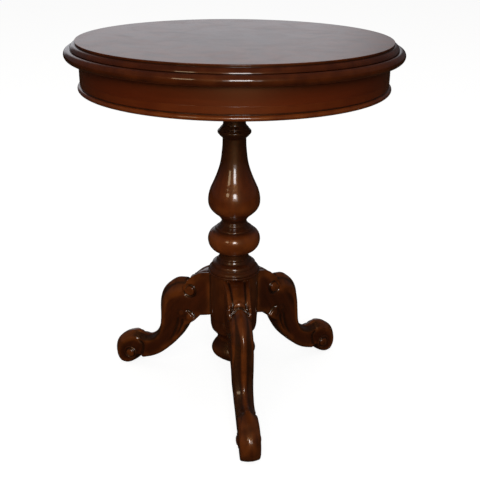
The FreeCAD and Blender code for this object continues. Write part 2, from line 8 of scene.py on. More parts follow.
import logging
import math
from dataclasses import dataclass, field
from enum import Enum

import bpy
import numpy as np
from mathutils import Matrix, Vector


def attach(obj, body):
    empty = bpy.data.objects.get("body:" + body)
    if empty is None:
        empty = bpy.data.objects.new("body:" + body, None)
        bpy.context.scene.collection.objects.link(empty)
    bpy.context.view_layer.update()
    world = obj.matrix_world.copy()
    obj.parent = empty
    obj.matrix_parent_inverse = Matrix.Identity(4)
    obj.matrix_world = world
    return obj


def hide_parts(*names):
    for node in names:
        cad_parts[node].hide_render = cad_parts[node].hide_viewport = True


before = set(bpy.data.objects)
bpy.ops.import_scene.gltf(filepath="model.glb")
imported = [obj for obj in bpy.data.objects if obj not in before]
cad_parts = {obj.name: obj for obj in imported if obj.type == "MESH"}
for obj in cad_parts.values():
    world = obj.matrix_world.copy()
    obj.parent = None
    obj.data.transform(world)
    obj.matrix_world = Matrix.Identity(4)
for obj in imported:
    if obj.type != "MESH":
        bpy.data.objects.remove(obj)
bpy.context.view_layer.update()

LOG = logging.getLogger("side_table")
MM = 0.001
BODY = "root"
TINY = 1e-6
FINE_REACH, FINE_DEPTH = 1.5, 0.32
BROAD_REACH, BROAD_DEPTH = 10.0, 2.4
Array = np.ndarray
Material = bpy.types.Material
Mesh = bpy.types.Mesh
Node = bpy.types.Node
Socket = bpy.types.NodeSocket
Point = tuple[float, ...]
Line = tuple[Point, ...]
Span = tuple[float, float]
Colour = tuple[float, float, float]


class Slot(Enum):
    """Material slots of the record."""

    TOP_VENEER = "top_veneer"
    FRIEZE_VENEER = "frieze_veneer"
    MOULDING = "moulding"
    TURNED_WOOD = "turned_wood"
    CARVED_WOOD = "carved_wood"
    CORE_BOARD = "core_board"
    PLAIN_WOOD = "plain_wood"
    DOWEL_WOOD = "dowel_wood"
    SCREW_METAL = "screw_metal"


class GrainRun(Enum):
    """Which way the grain runs in a turned or bent piece."""

    UPRIGHT = "upright"
    ROUND = "round"


# Curves and steps


def step_up(value: Array, low: float, high: float) -> Array:
    """Rise smoothly from 0 at low to 1 at high."""
    share = np.clip((value - low) / (high - low), 0.0, 1.0)
    return share * share * (3.0 - 2.0 * share)


def step_down(value: Array, low: float, high: float) -> Array:
    """Fall smoothly from 1 at low to 0 at high."""
    return 1.0 - step_up(value, low, high)


def band(value: Array, rise: Span, fall: Span) -> Array:
    """Rise smoothly from 0 to 1 over one span and fall back over another."""
    return step_up(value, *rise) * step_down(value, *fall)


def hill(value: Array, middle: float, width: float) -> Array:
    """A smooth bump of height 1 round its middle."""
    return np.exp(-((value - middle) / width) ** 2)


def dish(value: Array, radius: float) -> Array:
    """A parabola that is 1 in the middle and 0 from its radius on."""
    return np.clip(1.0 - (value / radius) ** 2, 0.0, 1.0)


def eased_max(first: Array, second: Array, ease: Array | float) -> Array:
    """The larger of two depths, with the edge between them rounded over a length."""
    overlap = np.maximum(ease - np.abs(first - second), 0.0) / ease
    return np.maximum(first, second) + overlap * overlap * ease / 4.0


def arc_points(start: Point, end: Point, bulge: float, flat: float) -> Array:
    """Points along an arc, without its start.

    Args:
        start: Radius and height where the arc starts.
        end: Radius and height where it ends.
        bulge: Rise of the arc as a share of its chord, to the left of its travel.
        flat: Most that a chord may cut inside the arc.

    Returns:
        The points, the last of which is the end.
    """
    if not bulge:
        return np.array([end[:2]])
    half_turn = 2 * math.atan(2 * bulge)
    run = np.subtract(end[:2], start[:2])
    left = np.array((-run[1], run[0])) / math.hypot(*run)
    radius = math.hypot(*run) / (2 * math.sin(abs(half_turn)))
    count = max(3, math.ceil(abs(half_turn) / math.sqrt(2 * flat / radius)))
    angle = half_turn * (2 * np.arange(1, count + 1) / count - 1)
    along = 0.5 + np.sin(angle) / (2 * math.sin(half_turn))
    rise = math.copysign(radius, bulge) * (np.cos(angle) - math.cos(half_turn))
    return np.array(start[:2]) + along[:, None] * run + rise[:, None] * left


def smooth_line(points: Line, step: float = 1.6) -> Array:
    """Points at most a step apart along a Catmull-Rom curve through the given ones."""
    points = np.array(points)
    ends = np.vstack([2 * points[0] - points[1], points, 2 * points[-1] - points[-2]])
    made = [points[:1]]
    for place in range(len(points) - 1):
        first, start, end, last = ends[place:place + 4]
        count = max(2, math.ceil(np.linalg.norm(end - start) / step))
        share = (np.arange(1, count + 1) / count)[:, None]
        made.append(0.5 * (2 * start + (end - first) * share
                           + (2 * first - 5 * start + 4 * end - last) * share ** 2
                           + (3 * start - first - 3 * end + last) * share ** 3))
    return np.vstack(made)


@dataclass(frozen=True)
class Outline:
    """Closed half section of a turned piece, as points of (radius, height[, bulge]).

    The bulge belongs to the edge that ends at its point. Corners are eased, as
    sanding leaves them.
    """

    points: Line
    ease: float = 0.45
    flat: float = 0.02
    corner_angle: float = 14.0
    corner_steps: int = 5
    most_cut: float = 0.4
    support: float = 1.6
    long_edge: float = 4.0

    def drawn(self) -> Array:
        """The outline with its arcs drawn out and its corners eased."""
        return self._eased(np.vstack([
            arc_points(start, end, end[2] if len(end) == 3 else 0.0, self.flat)
            for start, end in zip(self.points[-1:] + self.points, self.points)]))

    def _eased(self, line: Array) -> Array:
        """Round the corners of a line.

        Args:
            line: Points of the line.

        Returns:
            The points with each sharp corner cut back to a small curve, and a
            point beside it that keeps the shading of long faces flat.
        """
        made: list[Array] = []
        for before, here, after in zip(np.roll(line, 1, 0), line, np.roll(line, -1, 0)):
            low, high = np.linalg.norm(before - here), np.linalg.norm(after - here)
            back, ahead = (before - here) / low, (after - here) / high
            cosine = float(np.clip(-back @ ahead, -1.0, 1.0))
            if math.degrees(math.acos(cosine)) < self.corner_angle:
                made.append(here)
                continue
            first, last = (here + way * min(self.ease, self.most_cut * length)
                           for way, length in ((back, low), (ahead, high)))
            if low > self.long_edge * self.ease:
                made.append(here + back * self.ease * self.support)
            for share in np.linspace(0.0, 1.0, self.corner_steps):
                made.append((1 - share) ** 2 * first + 2 * share * (1 - share) * here
                            + share ** 2 * last)
            if high > self.long_edge * self.ease:
                made.append(here + ahead * self.ease * self.support)
        return np.array(made)

    def relief(self, line: Array, reach: float, depth: float, steps: int = 5) -> Array:
        """How hollow or proud each point of the line is.

        Args:
            line: Points of the line.
            reach: Length over which the surface is compared with its surroundings.
            depth: Depth that counts as fully hollow.
            steps: Samples within the reach.

        Returns:
            A value per point, from -1 (proud edge) to 1 (bottom of a quirk).
        """
        loop = np.vstack([line, line[:1]])
        along = np.concatenate([[0.0], np.cumsum(np.linalg.norm(np.diff(loop, axis=0), axis=1))])
        fine = np.arange(0.0, along[-1], reach / steps)
        dense = np.stack([np.interp(fine, along, loop[:, axis]) for axis in (0, 1)], axis=1)
        margin = 3 * steps
        weights = np.exp(-0.5 * (np.arange(-margin, margin + 1) / steps) ** 2)
        padded = np.pad(dense, ((margin, margin), (0, 0)), mode="wrap")
        soft = np.stack([np.convolve(padded[:, axis], weights / weights.sum(), "valid")
                         for axis in (0, 1)], axis=1)
        run = np.gradient(dense, axis=0)
        outward = np.stack([run[:, 1], -run[:, 0]], axis=1)
        outward /= np.maximum(np.linalg.norm(outward, axis=1, keepdims=True), TINY)
        offset = ((soft - dense) * outward).sum(axis=1)
        return np.interp(along[:-1], fine, np.clip(offset / depth, -1.0, 1.0))


# Meshes


def store(mesh: Mesh, name: str, values: Array) -> None:
    """Store a number or a vector per vertex as an attribute of a mesh."""
    kind, key = ("FLOAT_VECTOR", "vector") if values.ndim == 2 else ("FLOAT", "value")
    held = mesh.attributes.get(name) or mesh.attributes.new(name, kind, "POINT")
    held.data.foreach_set(key, values.astype(np.float32).ravel())


def recall(mesh: Mesh, name: str) -> Array:
    """Read back a number per vertex."""
    values = np.zeros(len(mesh.vertices), np.float32)
    mesh.attributes[name].data.foreach_get("value", values)
    return values


def places(mesh: Mesh) -> Array:
    """Where the vertices of a mesh lie, in millimetres."""
    flat = np.zeros(3 * len(mesh.vertices), np.float32)
    mesh.vertices.foreach_get("co", flat)
    return flat.reshape(-1, 3) / MM


def make_mesh(name: str, points: Array, faces: list, **values: Array) -> Mesh:
    """Make a smooth mesh.

    Args:
        name: Name of the mesh.
        points: Its points in millimetres.
        faces: Its faces.
        values: Its attributes, one row for each point.

    Returns:
        The mesh, in metres.
    """
    mesh = bpy.data.meshes.new(name)
    mesh.from_pydata((points * MM).tolist(), [], faces)
    for label, rows in values.items():
        store(mesh, label, rows)
    mesh.shade_smooth()
    return mesh


def add_piece(name: str, mesh: Mesh, node: str, material: Material) -> None:
    """Put a mesh in the scene as a piece of the table.

    Args:
        name: Name of the piece.
        mesh: Its mesh, in metres and in place.
        node: Node of the frame that it stands for.
        material: Its finish.
    """
    piece = bpy.data.objects.new(name, mesh)
    bpy.context.scene.collection.objects.link(piece)
    mesh.materials.append(material)
    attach(piece, BODY)
    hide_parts(node)
    LOG.info("%s: %d faces, for %s", name, len(mesh.polygons), node)


def lathe(name: str, outline: Outline, segments: int, run: GrainRun) -> Mesh:
    """Turn an outline round the upright axis.

    Args:
        name: Name of the mesh.
        outline: Half section of the piece, with its surface to the right of travel upwards.
        segments: Number of steps round the axis.
        run: Which way the grain runs.

    Returns:
        A closed mesh with the attributes grain, relief and swell.
    """
    line = outline.drawn()
    sizes = [segments if radius > TINY else 1 for radius in line[:, 0]]
    ring = np.repeat(np.arange(len(line)), sizes)
    turn = np.concatenate([np.arange(size) for size in sizes]) * 2 * math.pi / segments
    radius, height = line[ring].T
    points = np.stack([radius * np.cos(turn), radius * np.sin(turn), height], axis=1)
    grain = points
    if run is GrainRun.ROUND:
        grain = np.stack([radius, height, line[:, 0].max() * turn], axis=1)
    rings = np.split(np.arange(len(ring)), np.cumsum(sizes)[:-1])
    faces: list[tuple[int, ...]] = []
    for low, high in zip(rings, rings[1:] + rings[:1]):
        if len(low) == len(high) == 1:
            continue
        low, high = np.resize(low, segments), np.resize(high, segments)
        quads = np.stack([low, np.roll(low, -1), np.roll(high, -1), high], axis=1)
        faces.extend(tuple(dict.fromkeys(quad)) for quad in quads.tolist())
    return make_mesh(name, points, faces, grain=grain * MM,
                     relief=outline.relief(line, FINE_REACH, FINE_DEPTH)[ring],
                     swell=outline.relief(line, BROAD_REACH, BROAD_DEPTH)[ring])


# Finishes


class Graph:
    """A node tree that is wired while its nodes are added."""

    def __init__(self, tree: bpy.types.NodeTree) -> None:
        """Take up a tree."""
        self.tree = tree

    def node(self, kind: str, feeds: dict | None = None, **settings: object) -> Node:
        """Add a shader node.

        Args:
            kind: Its type, without the leading ShaderNode.
            feeds: A socket or a constant for each input that is set.
            settings: Its properties.

        Returns:
            The node.
        """
        node = self.tree.nodes.new("ShaderNode" + kind)
        for name, value in settings.items():
            setattr(node, name, value)
        self.feed(node, feeds or {})
        return node

    def feed(self, node: Node, feeds: dict) -> None:
        """Link or set inputs of a node."""
        for key, value in feeds.items():
            if isinstance(value, Socket):
                self.tree.links.new(value, node.inputs[key])
            else:
                node.inputs[key].default_value = value

    def calc(self, kind: str, *values: object, clamp: bool = False) -> Socket:
        """Add a Math node on sockets or numbers, and give its result."""
        return self.node("Math", dict(enumerate(values)), operation=kind,
                         use_clamp=clamp).outputs[0]

    def times(self, first: object, second: object) -> Socket:
        """Multiply two sockets or numbers."""
        return self.calc("MULTIPLY", first, second)

    def plus(self, value: object, factor: object, base: object, clamp: bool = False) -> Socket:
        """Add a value, times a factor, to a base."""
        return self.calc("MULTIPLY_ADD", value, factor, base, clamp=clamp)

    def mix(self, share: object, first: object, second: object) -> Socket:
        """Add a colour Mix node, and give its result."""
        return self.node("Mix", {0: share, 6: first, 7: second}, data_type="RGBA").outputs[2]

    def noise(self, vector: Socket, scale: float, stretch: Point = (1.0, 1.0, 1.0),
              detail: float = 3.0, distortion: float = 0.0) -> Socket:
        """Add a noise texture.

        Args:
            vector: Coordinates in metres.
            scale: Features per metre.
            stretch: Further scale along each axis.
            detail: Octaves.
            distortion: How far the pattern is bent.

        Returns:
            Its value.
        """
        mapped = self.node("Mapping", {"Vector": vector, "Scale": stretch})
        return self.node("TexNoise", {"Vector": mapped.outputs[0], "Scale": scale,
                                      "Detail": detail, "Distortion": distortion}).outputs[0]

    def spread(self, value: Socket, low: float, high: float) -> Socket:
        """Spread a value between low and high smoothly over 0 to 1."""
        return self.node("MapRange", {"Value": value, "From Min": low, "From Max": high},
                         interpolation_type="SMOOTHSTEP").outputs[0]

    def bump(self, height: Socket, strength: float, distance: float) -> Socket:
        """Add a bump of a strength and a height in millimetres, and give its normal."""
        return self.node("Bump", {"Height": height, "Strength": strength,
                                  "Distance": distance * MM}).outputs["Normal"]

    def switch(self, share: Socket, first: Node, second: Node) -> Node:
        """Mix two shaders by a share."""
        return self.node("MixShader", {0: share, 1: first.outputs[0], 2: second.outputs[0]})


class ShaderGroup(Graph):
    """A shader group that reads a vector."""

    def __init__(self, name: str, colours: tuple[str, ...], numbers: tuple[str, ...],
                 outputs: tuple[str, ...]) -> None:
        """Make an empty group.

        Args:
            name: Name of the group.
            colours: Its colour inputs.
            numbers: Its number inputs, which are 0 unless they are fed.
            outputs: Its outputs, of which Color is a colour and the rest are numbers.
        """
        super().__init__(bpy.data.node_groups.new(name, "ShaderNodeTree"))
        sides = [("INPUT", "Vector", "Vector")]
        sides += [("INPUT", "Color", label) for label in colours]
        sides += [("INPUT", "Float", label) for label in numbers]
        sides += [("OUTPUT", "Color" if label == "Color" else "Float", label) for label in outputs]
        for side, kind, label in sides:
            self.tree.interface.new_socket(label, in_out=side, socket_type="NodeSocket" + kind)
        self.given = self.tree.nodes.new("NodeGroupInput").outputs
        self.result = self.tree.nodes.new("NodeGroupOutput")


class ShaderKit:
    """Shader groups that the finishes share, each built once."""

    def __init__(self) -> None:
        """Build the groups."""
        self.figure, self.patina, self.polish = self._figure(), self._patina(), self._polish()

    @staticmethod
    def _figure() -> bpy.types.NodeTree:
        """Grain of mahogany: broad ribbon, fine streaks and short pores along Z."""
        group = ShaderGroup("wood_figure", ("Light", "Dark"), ("Ribbon", "Streak"),
                            ("Color", "Pores"))
        given, vector = group.given, group.given["Vector"]
        ribbon = group.spread(group.noise(vector, 22.0, (1.0, 1.0, 0.16), 2.0, 0.6), 0.3, 0.7)
        streak = group.spread(group.noise(vector, 150.0, (1.0, 1.0, 0.05), 4.0, 0.3), 0.3, 0.72)
        pores = group.spread(group.noise(vector, 900.0, (1.0, 1.0, 0.07), 1.0), 0.6, 0.72)
        figure = group.calc("ADD", group.times(ribbon, given["Ribbon"]),
                            group.times(streak, given["Streak"]), clamp=True)
        share = group.plus(pores, 0.25, figure, clamp=True)
        group.feed(group.result, {"Color": group.mix(share, given["Light"], given["Dark"]),
                                  "Pores": pores})
        return group.tree

    @staticmethod
    def _patina() -> bpy.types.NodeTree:
        """Age and painted light: dark polish in the hollows, rubbed edges and cloudy patches; the
        dark colour also paints the shade, and the worn colour part of the light, that the pieces
        store in their relief and swell.
        """
        group = ShaderGroup("age_patina", ("Color", "Grime and Shade Color", "Worn and Lit Color"),
                            ("Relief", "Swell", "Grime and Shade", "Cloud", "Wear and Light"), ("Color", "Hollow"))
        given, vector = group.given, group.given["Vector"]
        cloud = group.spread(group.noise(vector, 35.0, detail=4.0), 0.3, 0.7)
        speck = group.spread(group.noise(vector, 260.0), 0.35, 0.7)
        hollow = group.spread(given["Relief"], 0.05, 0.75)
        broad_hollow = group.spread(given["Swell"], 0.08, 0.9)
        sharp = group.spread(group.times(given["Relief"], -1.0), 0.15, 0.9)
        proud = group.spread(group.times(given["Swell"], -1.0), 0.06, 0.85)
        # dark polish in the hollows, together with the painted shade that comes in through the
        # relief
        dirt_and_shade = group.times(group.plus(broad_hollow, 0.65, hollow, clamp=True), given["Grime and Shade"])
        dirt_and_shade = group.times(dirt_and_shade, group.plus(speck, 0.25, 0.75))
        # rubbed edges, together with the light painted on the column's knop and vase through its
        # swell
        wear_and_light = group.times(group.plus(sharp, 0.25, proud, clamp=True), given["Wear and Light"])
        wear_and_light = group.times(wear_and_light, group.plus(cloud, 0.8, 0.2))
        shade = group.times(group.calc("SUBTRACT", 1.0, cloud), given["Cloud"])
        clouded = group.mix(shade, given["Color"], given["Grime and Shade Color"])
        worn_and_lit = group.mix(wear_and_light, clouded, given["Worn and Lit Color"])
        group.feed(group.result, {"Color": group.mix(dirt_and_shade, worn_and_lit, given["Grime and Shade Color"]),
                                  "Hollow": hollow})
        return group.tree

    @staticmethod
    def _polish() -> bpy.types.NodeTree:
        """Surface of a hand-rubbed lacquer: smears, duller hollows, open pores."""
        group = ShaderGroup("rubbed_polish", (), ("Roughness", "Pores", "Hollow", "Coat"),
                            ("Roughness", "Height", "Coat"))
        given, vector = group.given, group.given["Vector"]
        smear = group.spread(group.noise(vector, 18.0, (1.0, 1.0, 0.5), 4.0, 0.8), 0.3, 0.75)
        fine = group.noise(vector, 420.0, detail=2.0)
        wave = group.noise(vector, 55.0, detail=2.0)
        rough = group.plus(smear, 0.07, given["Roughness"])
        rough = group.plus(fine, 0.03, rough)
        rough = group.plus(given["Pores"], 0.08, rough)
        rough = group.plus(given["Hollow"], 0.12, rough, clamp=True)
        height = group.plus(fine, 0.12, group.plus(given["Pores"], -0.25, wave))
        coat = group.times(group.plus(given["Hollow"], -0.2, 1.0), given["Coat"])
        group.feed(group.result, {"Roughness": rough, "Height": height, "Coat": coat})
        return group.tree


def opaque(colour: Colour) -> tuple[float, float, float, float]:
    """The colour with full alpha."""
    return (*colour, 1.0)


def new_material(name: str) -> tuple[Material, Graph, Node]:
    """Make a material, and give it with its graph and its Principled shader."""
    made = bpy.data.materials.new(name)
    made.use_nodes = True
    return made, Graph(made.node_tree), made.node_tree.nodes["Principled BSDF"]


@dataclass(frozen=True)
class Lacquer:
    """Gloss lacquer over stained mahogany."""

    name: str
    light: Colour
    dark: Colour
    ribbon: float = 0.45
    streak: float = 0.4
    dirt_and_shade: float = 0.85
    wear_and_light: float = 0.5
    cloud: float = 0.2
    # the dirt colour also paints the shade stored in the relief, and the worn colour part of the
    # light on the column's knop and vase
    dirt_and_shade_colour: Colour = (0.006, 0.0022, 0.0012)
    worn_and_lit_colour: Colour = (0.19, 0.044, 0.006)
    roughness: float = 0.32
    specular: float = 0.6
    glow: Colour = (1.0, 0.5, 0.2)
    coat: float = 1.0
    coat_roughness: float = 0.07
    bump: float = 0.12
    bump_height: float = 0.4

    def material(self, kit: ShaderKit) -> Material:
        """Build the finish.

        Args:
            kit: The shared shader groups.

        Returns:
            The material, which reads the attributes grain, relief and swell.
        """
        made, graph, shader = new_material(self.name)
        grain, relief, swell = (graph.node("Attribute", attribute_name=name).outputs
                                for name in ("grain", "relief", "swell"))
        figure = graph.node("Group", {
            "Vector": grain["Vector"], "Light": opaque(self.light), "Dark": opaque(self.dark),
            "Ribbon": self.ribbon, "Streak": self.streak}, node_tree=kit.figure).outputs
        patina = graph.node("Group", {
            "Vector": grain["Vector"], "Color": figure["Color"], "Relief": relief["Fac"],
            "Swell": swell["Fac"], "Grime and Shade Color": opaque(self.dirt_and_shade_colour),
            "Worn and Lit Color": opaque(self.worn_and_lit_colour), "Grime and Shade": self.dirt_and_shade, "Wear and Light": self.wear_and_light,
            "Cloud": self.cloud}, node_tree=kit.patina).outputs
        polish = graph.node("Group", {
            "Vector": grain["Vector"], "Pores": figure["Pores"], "Hollow": patina["Hollow"],
            "Roughness": self.roughness, "Coat": self.coat}, node_tree=kit.polish).outputs
        graph.feed(shader, {
            "Base Color": patina["Color"], "Roughness": polish["Roughness"],
            "Specular IOR Level": self.specular, "Specular Tint": opaque(self.glow),
            "Coat Weight": polish["Coat"], "Coat Roughness": self.coat_roughness,
            "Normal": graph.bump(polish["Height"], self.bump, self.bump_height)})
        return made


@dataclass(frozen=True)
class BareWood:
    """Unpolished wood of the hidden pieces."""

    name: str
    light: Colour
    dark: Colour
    turn: Point = (0.0, 0.0, 0.0)
    ribbon: float = 0.4
    streak: float = 0.5
    specular: float = 0.3
    roughness: float = 0.62
    bump: float = 0.35
    bump_height: float = 0.5

    def material(self, kit: ShaderKit) -> Material:
        """Build the finish from the shared groups, on the solids' own coordinates."""
        made, graph, shader = new_material(self.name)
        place = graph.node("TexCoord").outputs["Object"]
        vector = graph.node("Mapping", {"Vector": place, "Rotation": self.turn}).outputs[0]
        figure = graph.node("Group", {
            "Vector": vector, "Light": opaque(self.light), "Dark": opaque(self.dark),
            "Ribbon": self.ribbon, "Streak": self.streak}, node_tree=kit.figure).outputs
        polish = graph.node("Group", {
            "Vector": vector, "Pores": figure["Pores"], "Roughness": self.roughness},
            node_tree=kit.polish).outputs
        graph.feed(shader, {
            "Base Color": figure["Color"], "Roughness": polish["Roughness"],
            "Specular IOR Level": self.specular,
            "Normal": graph.bump(polish["Height"], self.bump, self.bump_height)})
        return made


@dataclass(frozen=True)
class Zinc:
    """Dull zinc of the screws."""

    name: str = "dull_zinc"
    bright: Colour = (0.42, 0.42, 0.43)
    dull: Colour = (0.22, 0.22, 0.23)
    grit: float = 700.0
    roughness: float = 0.35
    mottling: float = 0.25
    bump: float = 0.2
    bump_height: float = 0.1

    def material(self) -> Material:
        """Build the finish."""
        made, graph, shader = new_material(self.name)
        place = graph.node("TexCoord").outputs["Object"]
        mottle = graph.spread(graph.noise(place, self.grit), 0.3, 0.7)
        graph.feed(shader, {
            "Metallic": 1.0,
            "Base Color": graph.mix(mottle, opaque(self.bright), opaque(self.dull)),
            "Roughness": graph.plus(mottle, self.mottling, self.roughness),
            "Normal": graph.bump(mottle, self.bump, self.bump_height)})
        return made


# Turned pieces


@dataclass
class RoundTop:
    """The veneered top and the solid moulding round its edge."""

    top_face: float = 715.0
    veneer_foot: float = 714.2
    radius: float = 300.0
    face_radius: float = 280.0
    panel_radius: float = 250.0
    underside: float = 684.0
    step_foot: float = 710.5
    segments: int = 360

    def rim_outline(self) -> Outline:
        """Half section of the rim: step, ovolo, quirk and half-round nose."""
        return Outline((
            (self.panel_radius, self.underside), (290.7, self.underside),
            (self.radius, 693.3, -0.2071), (291.2, 701.9, -0.2071), (286.5, 701.3),
            (288.6, 702.6), (280.6, self.step_foot, -0.17), (self.face_radius, self.step_foot),
            (self.face_radius, self.veneer_foot), (self.panel_radius, self.veneer_foot)))

    def veneer_outline(self) -> Outline:
        """Half section of the sheet of veneer, with its upper edge rubbed down."""
        low, edge = self.veneer_foot, self.face_radius
        return Outline(((0.0, low), (edge - 0.05, low), (edge, low + 0.3),
                        (edge - 0.35, self.top_face), (0.0, self.top_face)), ease=0.12)

    def build(self, veneer: Material, moulding: Material) -> None:
        """Add the top's pieces to the scene."""
        leaf = lathe("top_veneer", self.veneer_outline(), self.segments, GrainRun.UPRIGHT)
        add_piece("top_leaf", leaf, "top_veneer", veneer)
        rim = lathe("top_rim", self.rim_outline(), self.segments, GrainRun.ROUND)
        add_piece("top_rim", rim, "rim_moulding", moulding)


@dataclass
class Frieze:
    """The veneered frieze under the top and the bead strip at its foot."""

    top: float = 684.0
    foot: float = 630.0
    strip_top: float = 652.0
    bead_top: float = 638.6
    radius: float = 275.3
    core_radius: float = 274.5
    strip_back: float = 267.5
    shadow_width: float = 1.0
    shadow: float = 0.5
    rubbed: float = -0.9
    segments: int = 360

    def sheet_outline(self) -> Outline:
        """Half section of the sheet of veneer."""
        return Outline(((self.core_radius, self.strip_top), (self.radius, self.strip_top),
                        (self.radius, self.top), (self.core_radius, self.top)), ease=0.1)

    def strip_outline(self) -> Outline:
        """Half section of the strip: a bead at the foot, a quirk and a flat fillet."""
        return Outline((
            (self.strip_back, self.foot), (275.6, self.foot), (279.4, 634.2, -0.2),
            (275.4, 638.4, -0.2), (274.3, 638.8), (274.3, 640.2), (275.2, 640.8),
            (self.radius, self.strip_top), (self.strip_back, self.strip_top)), ease=0.3)

    def build(self, veneer: Material) -> None:
        """Add the frieze's pieces to the scene; only the strip's bead is rubbed light."""
        sheet = lathe("frieze_sheet", self.sheet_outline(), self.segments, GrainRun.ROUND)
        height = places(sheet)[:, 2]
        store(sheet, "swell", np.zeros(len(height)))
        store(sheet, "relief", np.where(height > self.top - self.shadow_width, self.shadow, 0.0))
        add_piece("frieze_sheet", sheet, "apron_veneer", veneer)
        strip = lathe("frieze_strip", self.strip_outline(), self.segments, GrainRun.ROUND)
        height = places(strip)[:, 2]
        store(strip, "swell", np.where(height < self.bead_top, self.rubbed, 0.0))
        add_piece("frieze_strip", strip, "apron_base_moulding", veneer)


@dataclass
class Column:
    """The turned column: collar, vase, knop and flared base, with its tenons."""

    segments: int = 160
    tenon_top: float = 668.0
    block_foot: float = 642.0
    shoulder: float = 262.0
    tenon_foot: float = 222.0
    curve_step: float = 1.2
    knop: Line = (
        (30.2, 305.0), (37.0, 308.9), (43.2, 313.6), (48.6, 321.2), (50.9, 331.0), (49.9, 339.4),
        (46.6, 346.2), (42.6, 350.2), (39.9, 352.2), (37.4, 353.4))
    vase: Line = (
        (23.6, 369.2), (24.9, 372.9), (27.6, 377.3), (32.0, 382.2), (38.5, 387.6), (45.2, 394.9),
        (49.2, 403.6), (50.1, 413.2), (48.9, 423.5), (45.8, 434.4), (42.0, 443.1), (36.8, 454.9),
        (32.0, 467.4), (27.9, 480.4), (25.3, 493.2), (23.6, 507.6), (22.5, 520.0), (22.2, 533.0))
    # worn colour is kept to the knop and vase: partly wear and partly painted light, as these
    # stand in the strongest light on the column
    rubbed_and_lit_span: Span = (303.0, 470.0)
    least_swell: float = -0.1
    # painted shade on the neck, which lies in the top's shadow, and on the waist and base, which
    # face up into the shade under the top
    neck_shade: float = 0.62
    neck_span: Span = (430.0, 505.0)
    base_shade: float = 0.52
    base_span: Span = (300.0, 310.0)
    waist_shade: float = 0.55
    waist_foot: Span = (346.0, 354.0)
    waist_top: Span = (368.0, 384.0)

    def outline(self) -> Outline:
        """Half section of the column, from the foot of its lower tenon."""
        knop, vase = (map(tuple, smooth_line(line, self.curve_step))
                      for line in (self.knop, self.vase))
        return Outline((
            (0.0, self.tenon_foot), (14.0, self.tenon_foot), (14.0, self.shoulder),
            (49.4, self.shoulder), (51.4, 264.6, -0.2), (50.2, 267.0, -0.2), (48.6, 267.4),
            (49.8, 268.2), (49.6, 270.6), (48.0, 273.0), (44.4, 276.8, 0.04),
            (43.4, 277.6), (42.6, 281.2, -0.06), (40.2, 284.0, -0.12), (36.4, 286.0, -0.04),
            (34.0, 287.6, 0.06), (32.4, 290.4, 0.03), (30.6, 293.0, -0.1), (29.4, 294.0),
            (28.6, 297.6, 0.06), (28.3, 303.6), *knop,
            (36.2, 354.3), (36.1, 355.0), (33.4, 357.6, -0.17), (27.6, 363.2, 0.02),
            (26.9, 363.7), (25.4, 366.4, -0.1), (23.9, 368.3, -0.15), *vase,
            (23.2, 535.0, 0.08), (29.8, 541.9, -0.05), (31.5, 545.3, -0.16),
            (30.0, 548.8, -0.16), (29.0, 549.4), (28.3, 549.9), (28.5, 550.4),
            (26.9, 551.8, -0.06), (26.6, 552.2), (26.4, 553.8), (23.3, 556.8, 0.06),
            (21.3, 561.0, 0.1), (21.0, 567.0, 0.02), (21.0, self.block_foot),
            (16.0, self.block_foot), (16.0, self.tenon_top), (0.0, self.tenon_top)), ease=0.4)

    def build(self, finish: Material) -> None:
        """Add the column to the scene, with painted shade at its neck, waist and base, and its
        worn colour kept to the knop and vase, where it also paints their light.
        """
        made = lathe("column_turning", self.outline(), self.segments, GrainRun.UPRIGHT)
        height, swell = places(made)[:, 2], recall(made, "swell")
        # the worn colour, part wear and part painted light, is held back outside the knop and vase
        rubbed = (height > self.rubbed_and_lit_span[0]) & (height < self.rubbed_and_lit_span[1])
        store(made, "swell", np.where(rubbed, swell, np.maximum(swell, self.least_swell)))
        # painted shade at the neck, waist and base, kept in the relief that the finish darkens
        waist = step_up(height, *self.waist_foot) - step_up(height, *self.waist_top)
        store(made, "relief", np.maximum.reduce([
            recall(made, "relief"), self.neck_shade * step_up(height, *self.neck_span),
            self.base_shade * step_down(height, *self.base_span), self.waist_shade * waist]))
        add_piece("column_turning", made, "column", finish)


@dataclass
class Drum:
    """The turned drum, with a flat seat for the root of each leg."""

    segments: int = 192
    top: float = 262.0
    foot: float = 121.5
    seat: float = 40.3
    seat_foot: float = 166.5
    seat_step: float = 0.02
    leg_spacing: float = 120.0

    def outline(self) -> Outline:
        """Half section of the drum, with a fine step where the seats start."""
        return Outline((
            (0.0, self.foot), (32.6, self.foot), (38.4, 131.0, 0.03), (42.1, 135.6, -0.02),
            (44.6, 138.6, -0.05), (46.9, 151.5, -0.03), (47.5, self.seat_foot),
            (47.5, self.seat_foot + self.seat_step), (47.9, 168.0, -0.02), (46.8, self.top),
            (0.0, self.top)))

    def build(self, finish: Material) -> None:
        """Turn the drum, plane its seats and add it to the scene."""
        made = lathe("drum_turning", self.outline(), self.segments, GrainRun.UPRIGHT)
        place = places(made)
        half = self.leg_spacing / 2
        angle = np.degrees(np.arctan2(place[:, 1], place[:, 0])) + 90.0
        off = np.radians((angle + half) % self.leg_spacing - half)
        reach = np.hypot(place[:, 0], place[:, 1]) * np.cos(off)
        share = np.minimum(1.0, self.seat / np.maximum(reach, TINY))
        share[place[:, 2] <= self.seat_foot + self.seat_step / 2] = 1.0
        place[:, :2] *= share[:, None]
        made.vertices.foreach_set("co", (place * MM).ravel())
        add_piece("drum_turning", made, "leg_drum", finish)


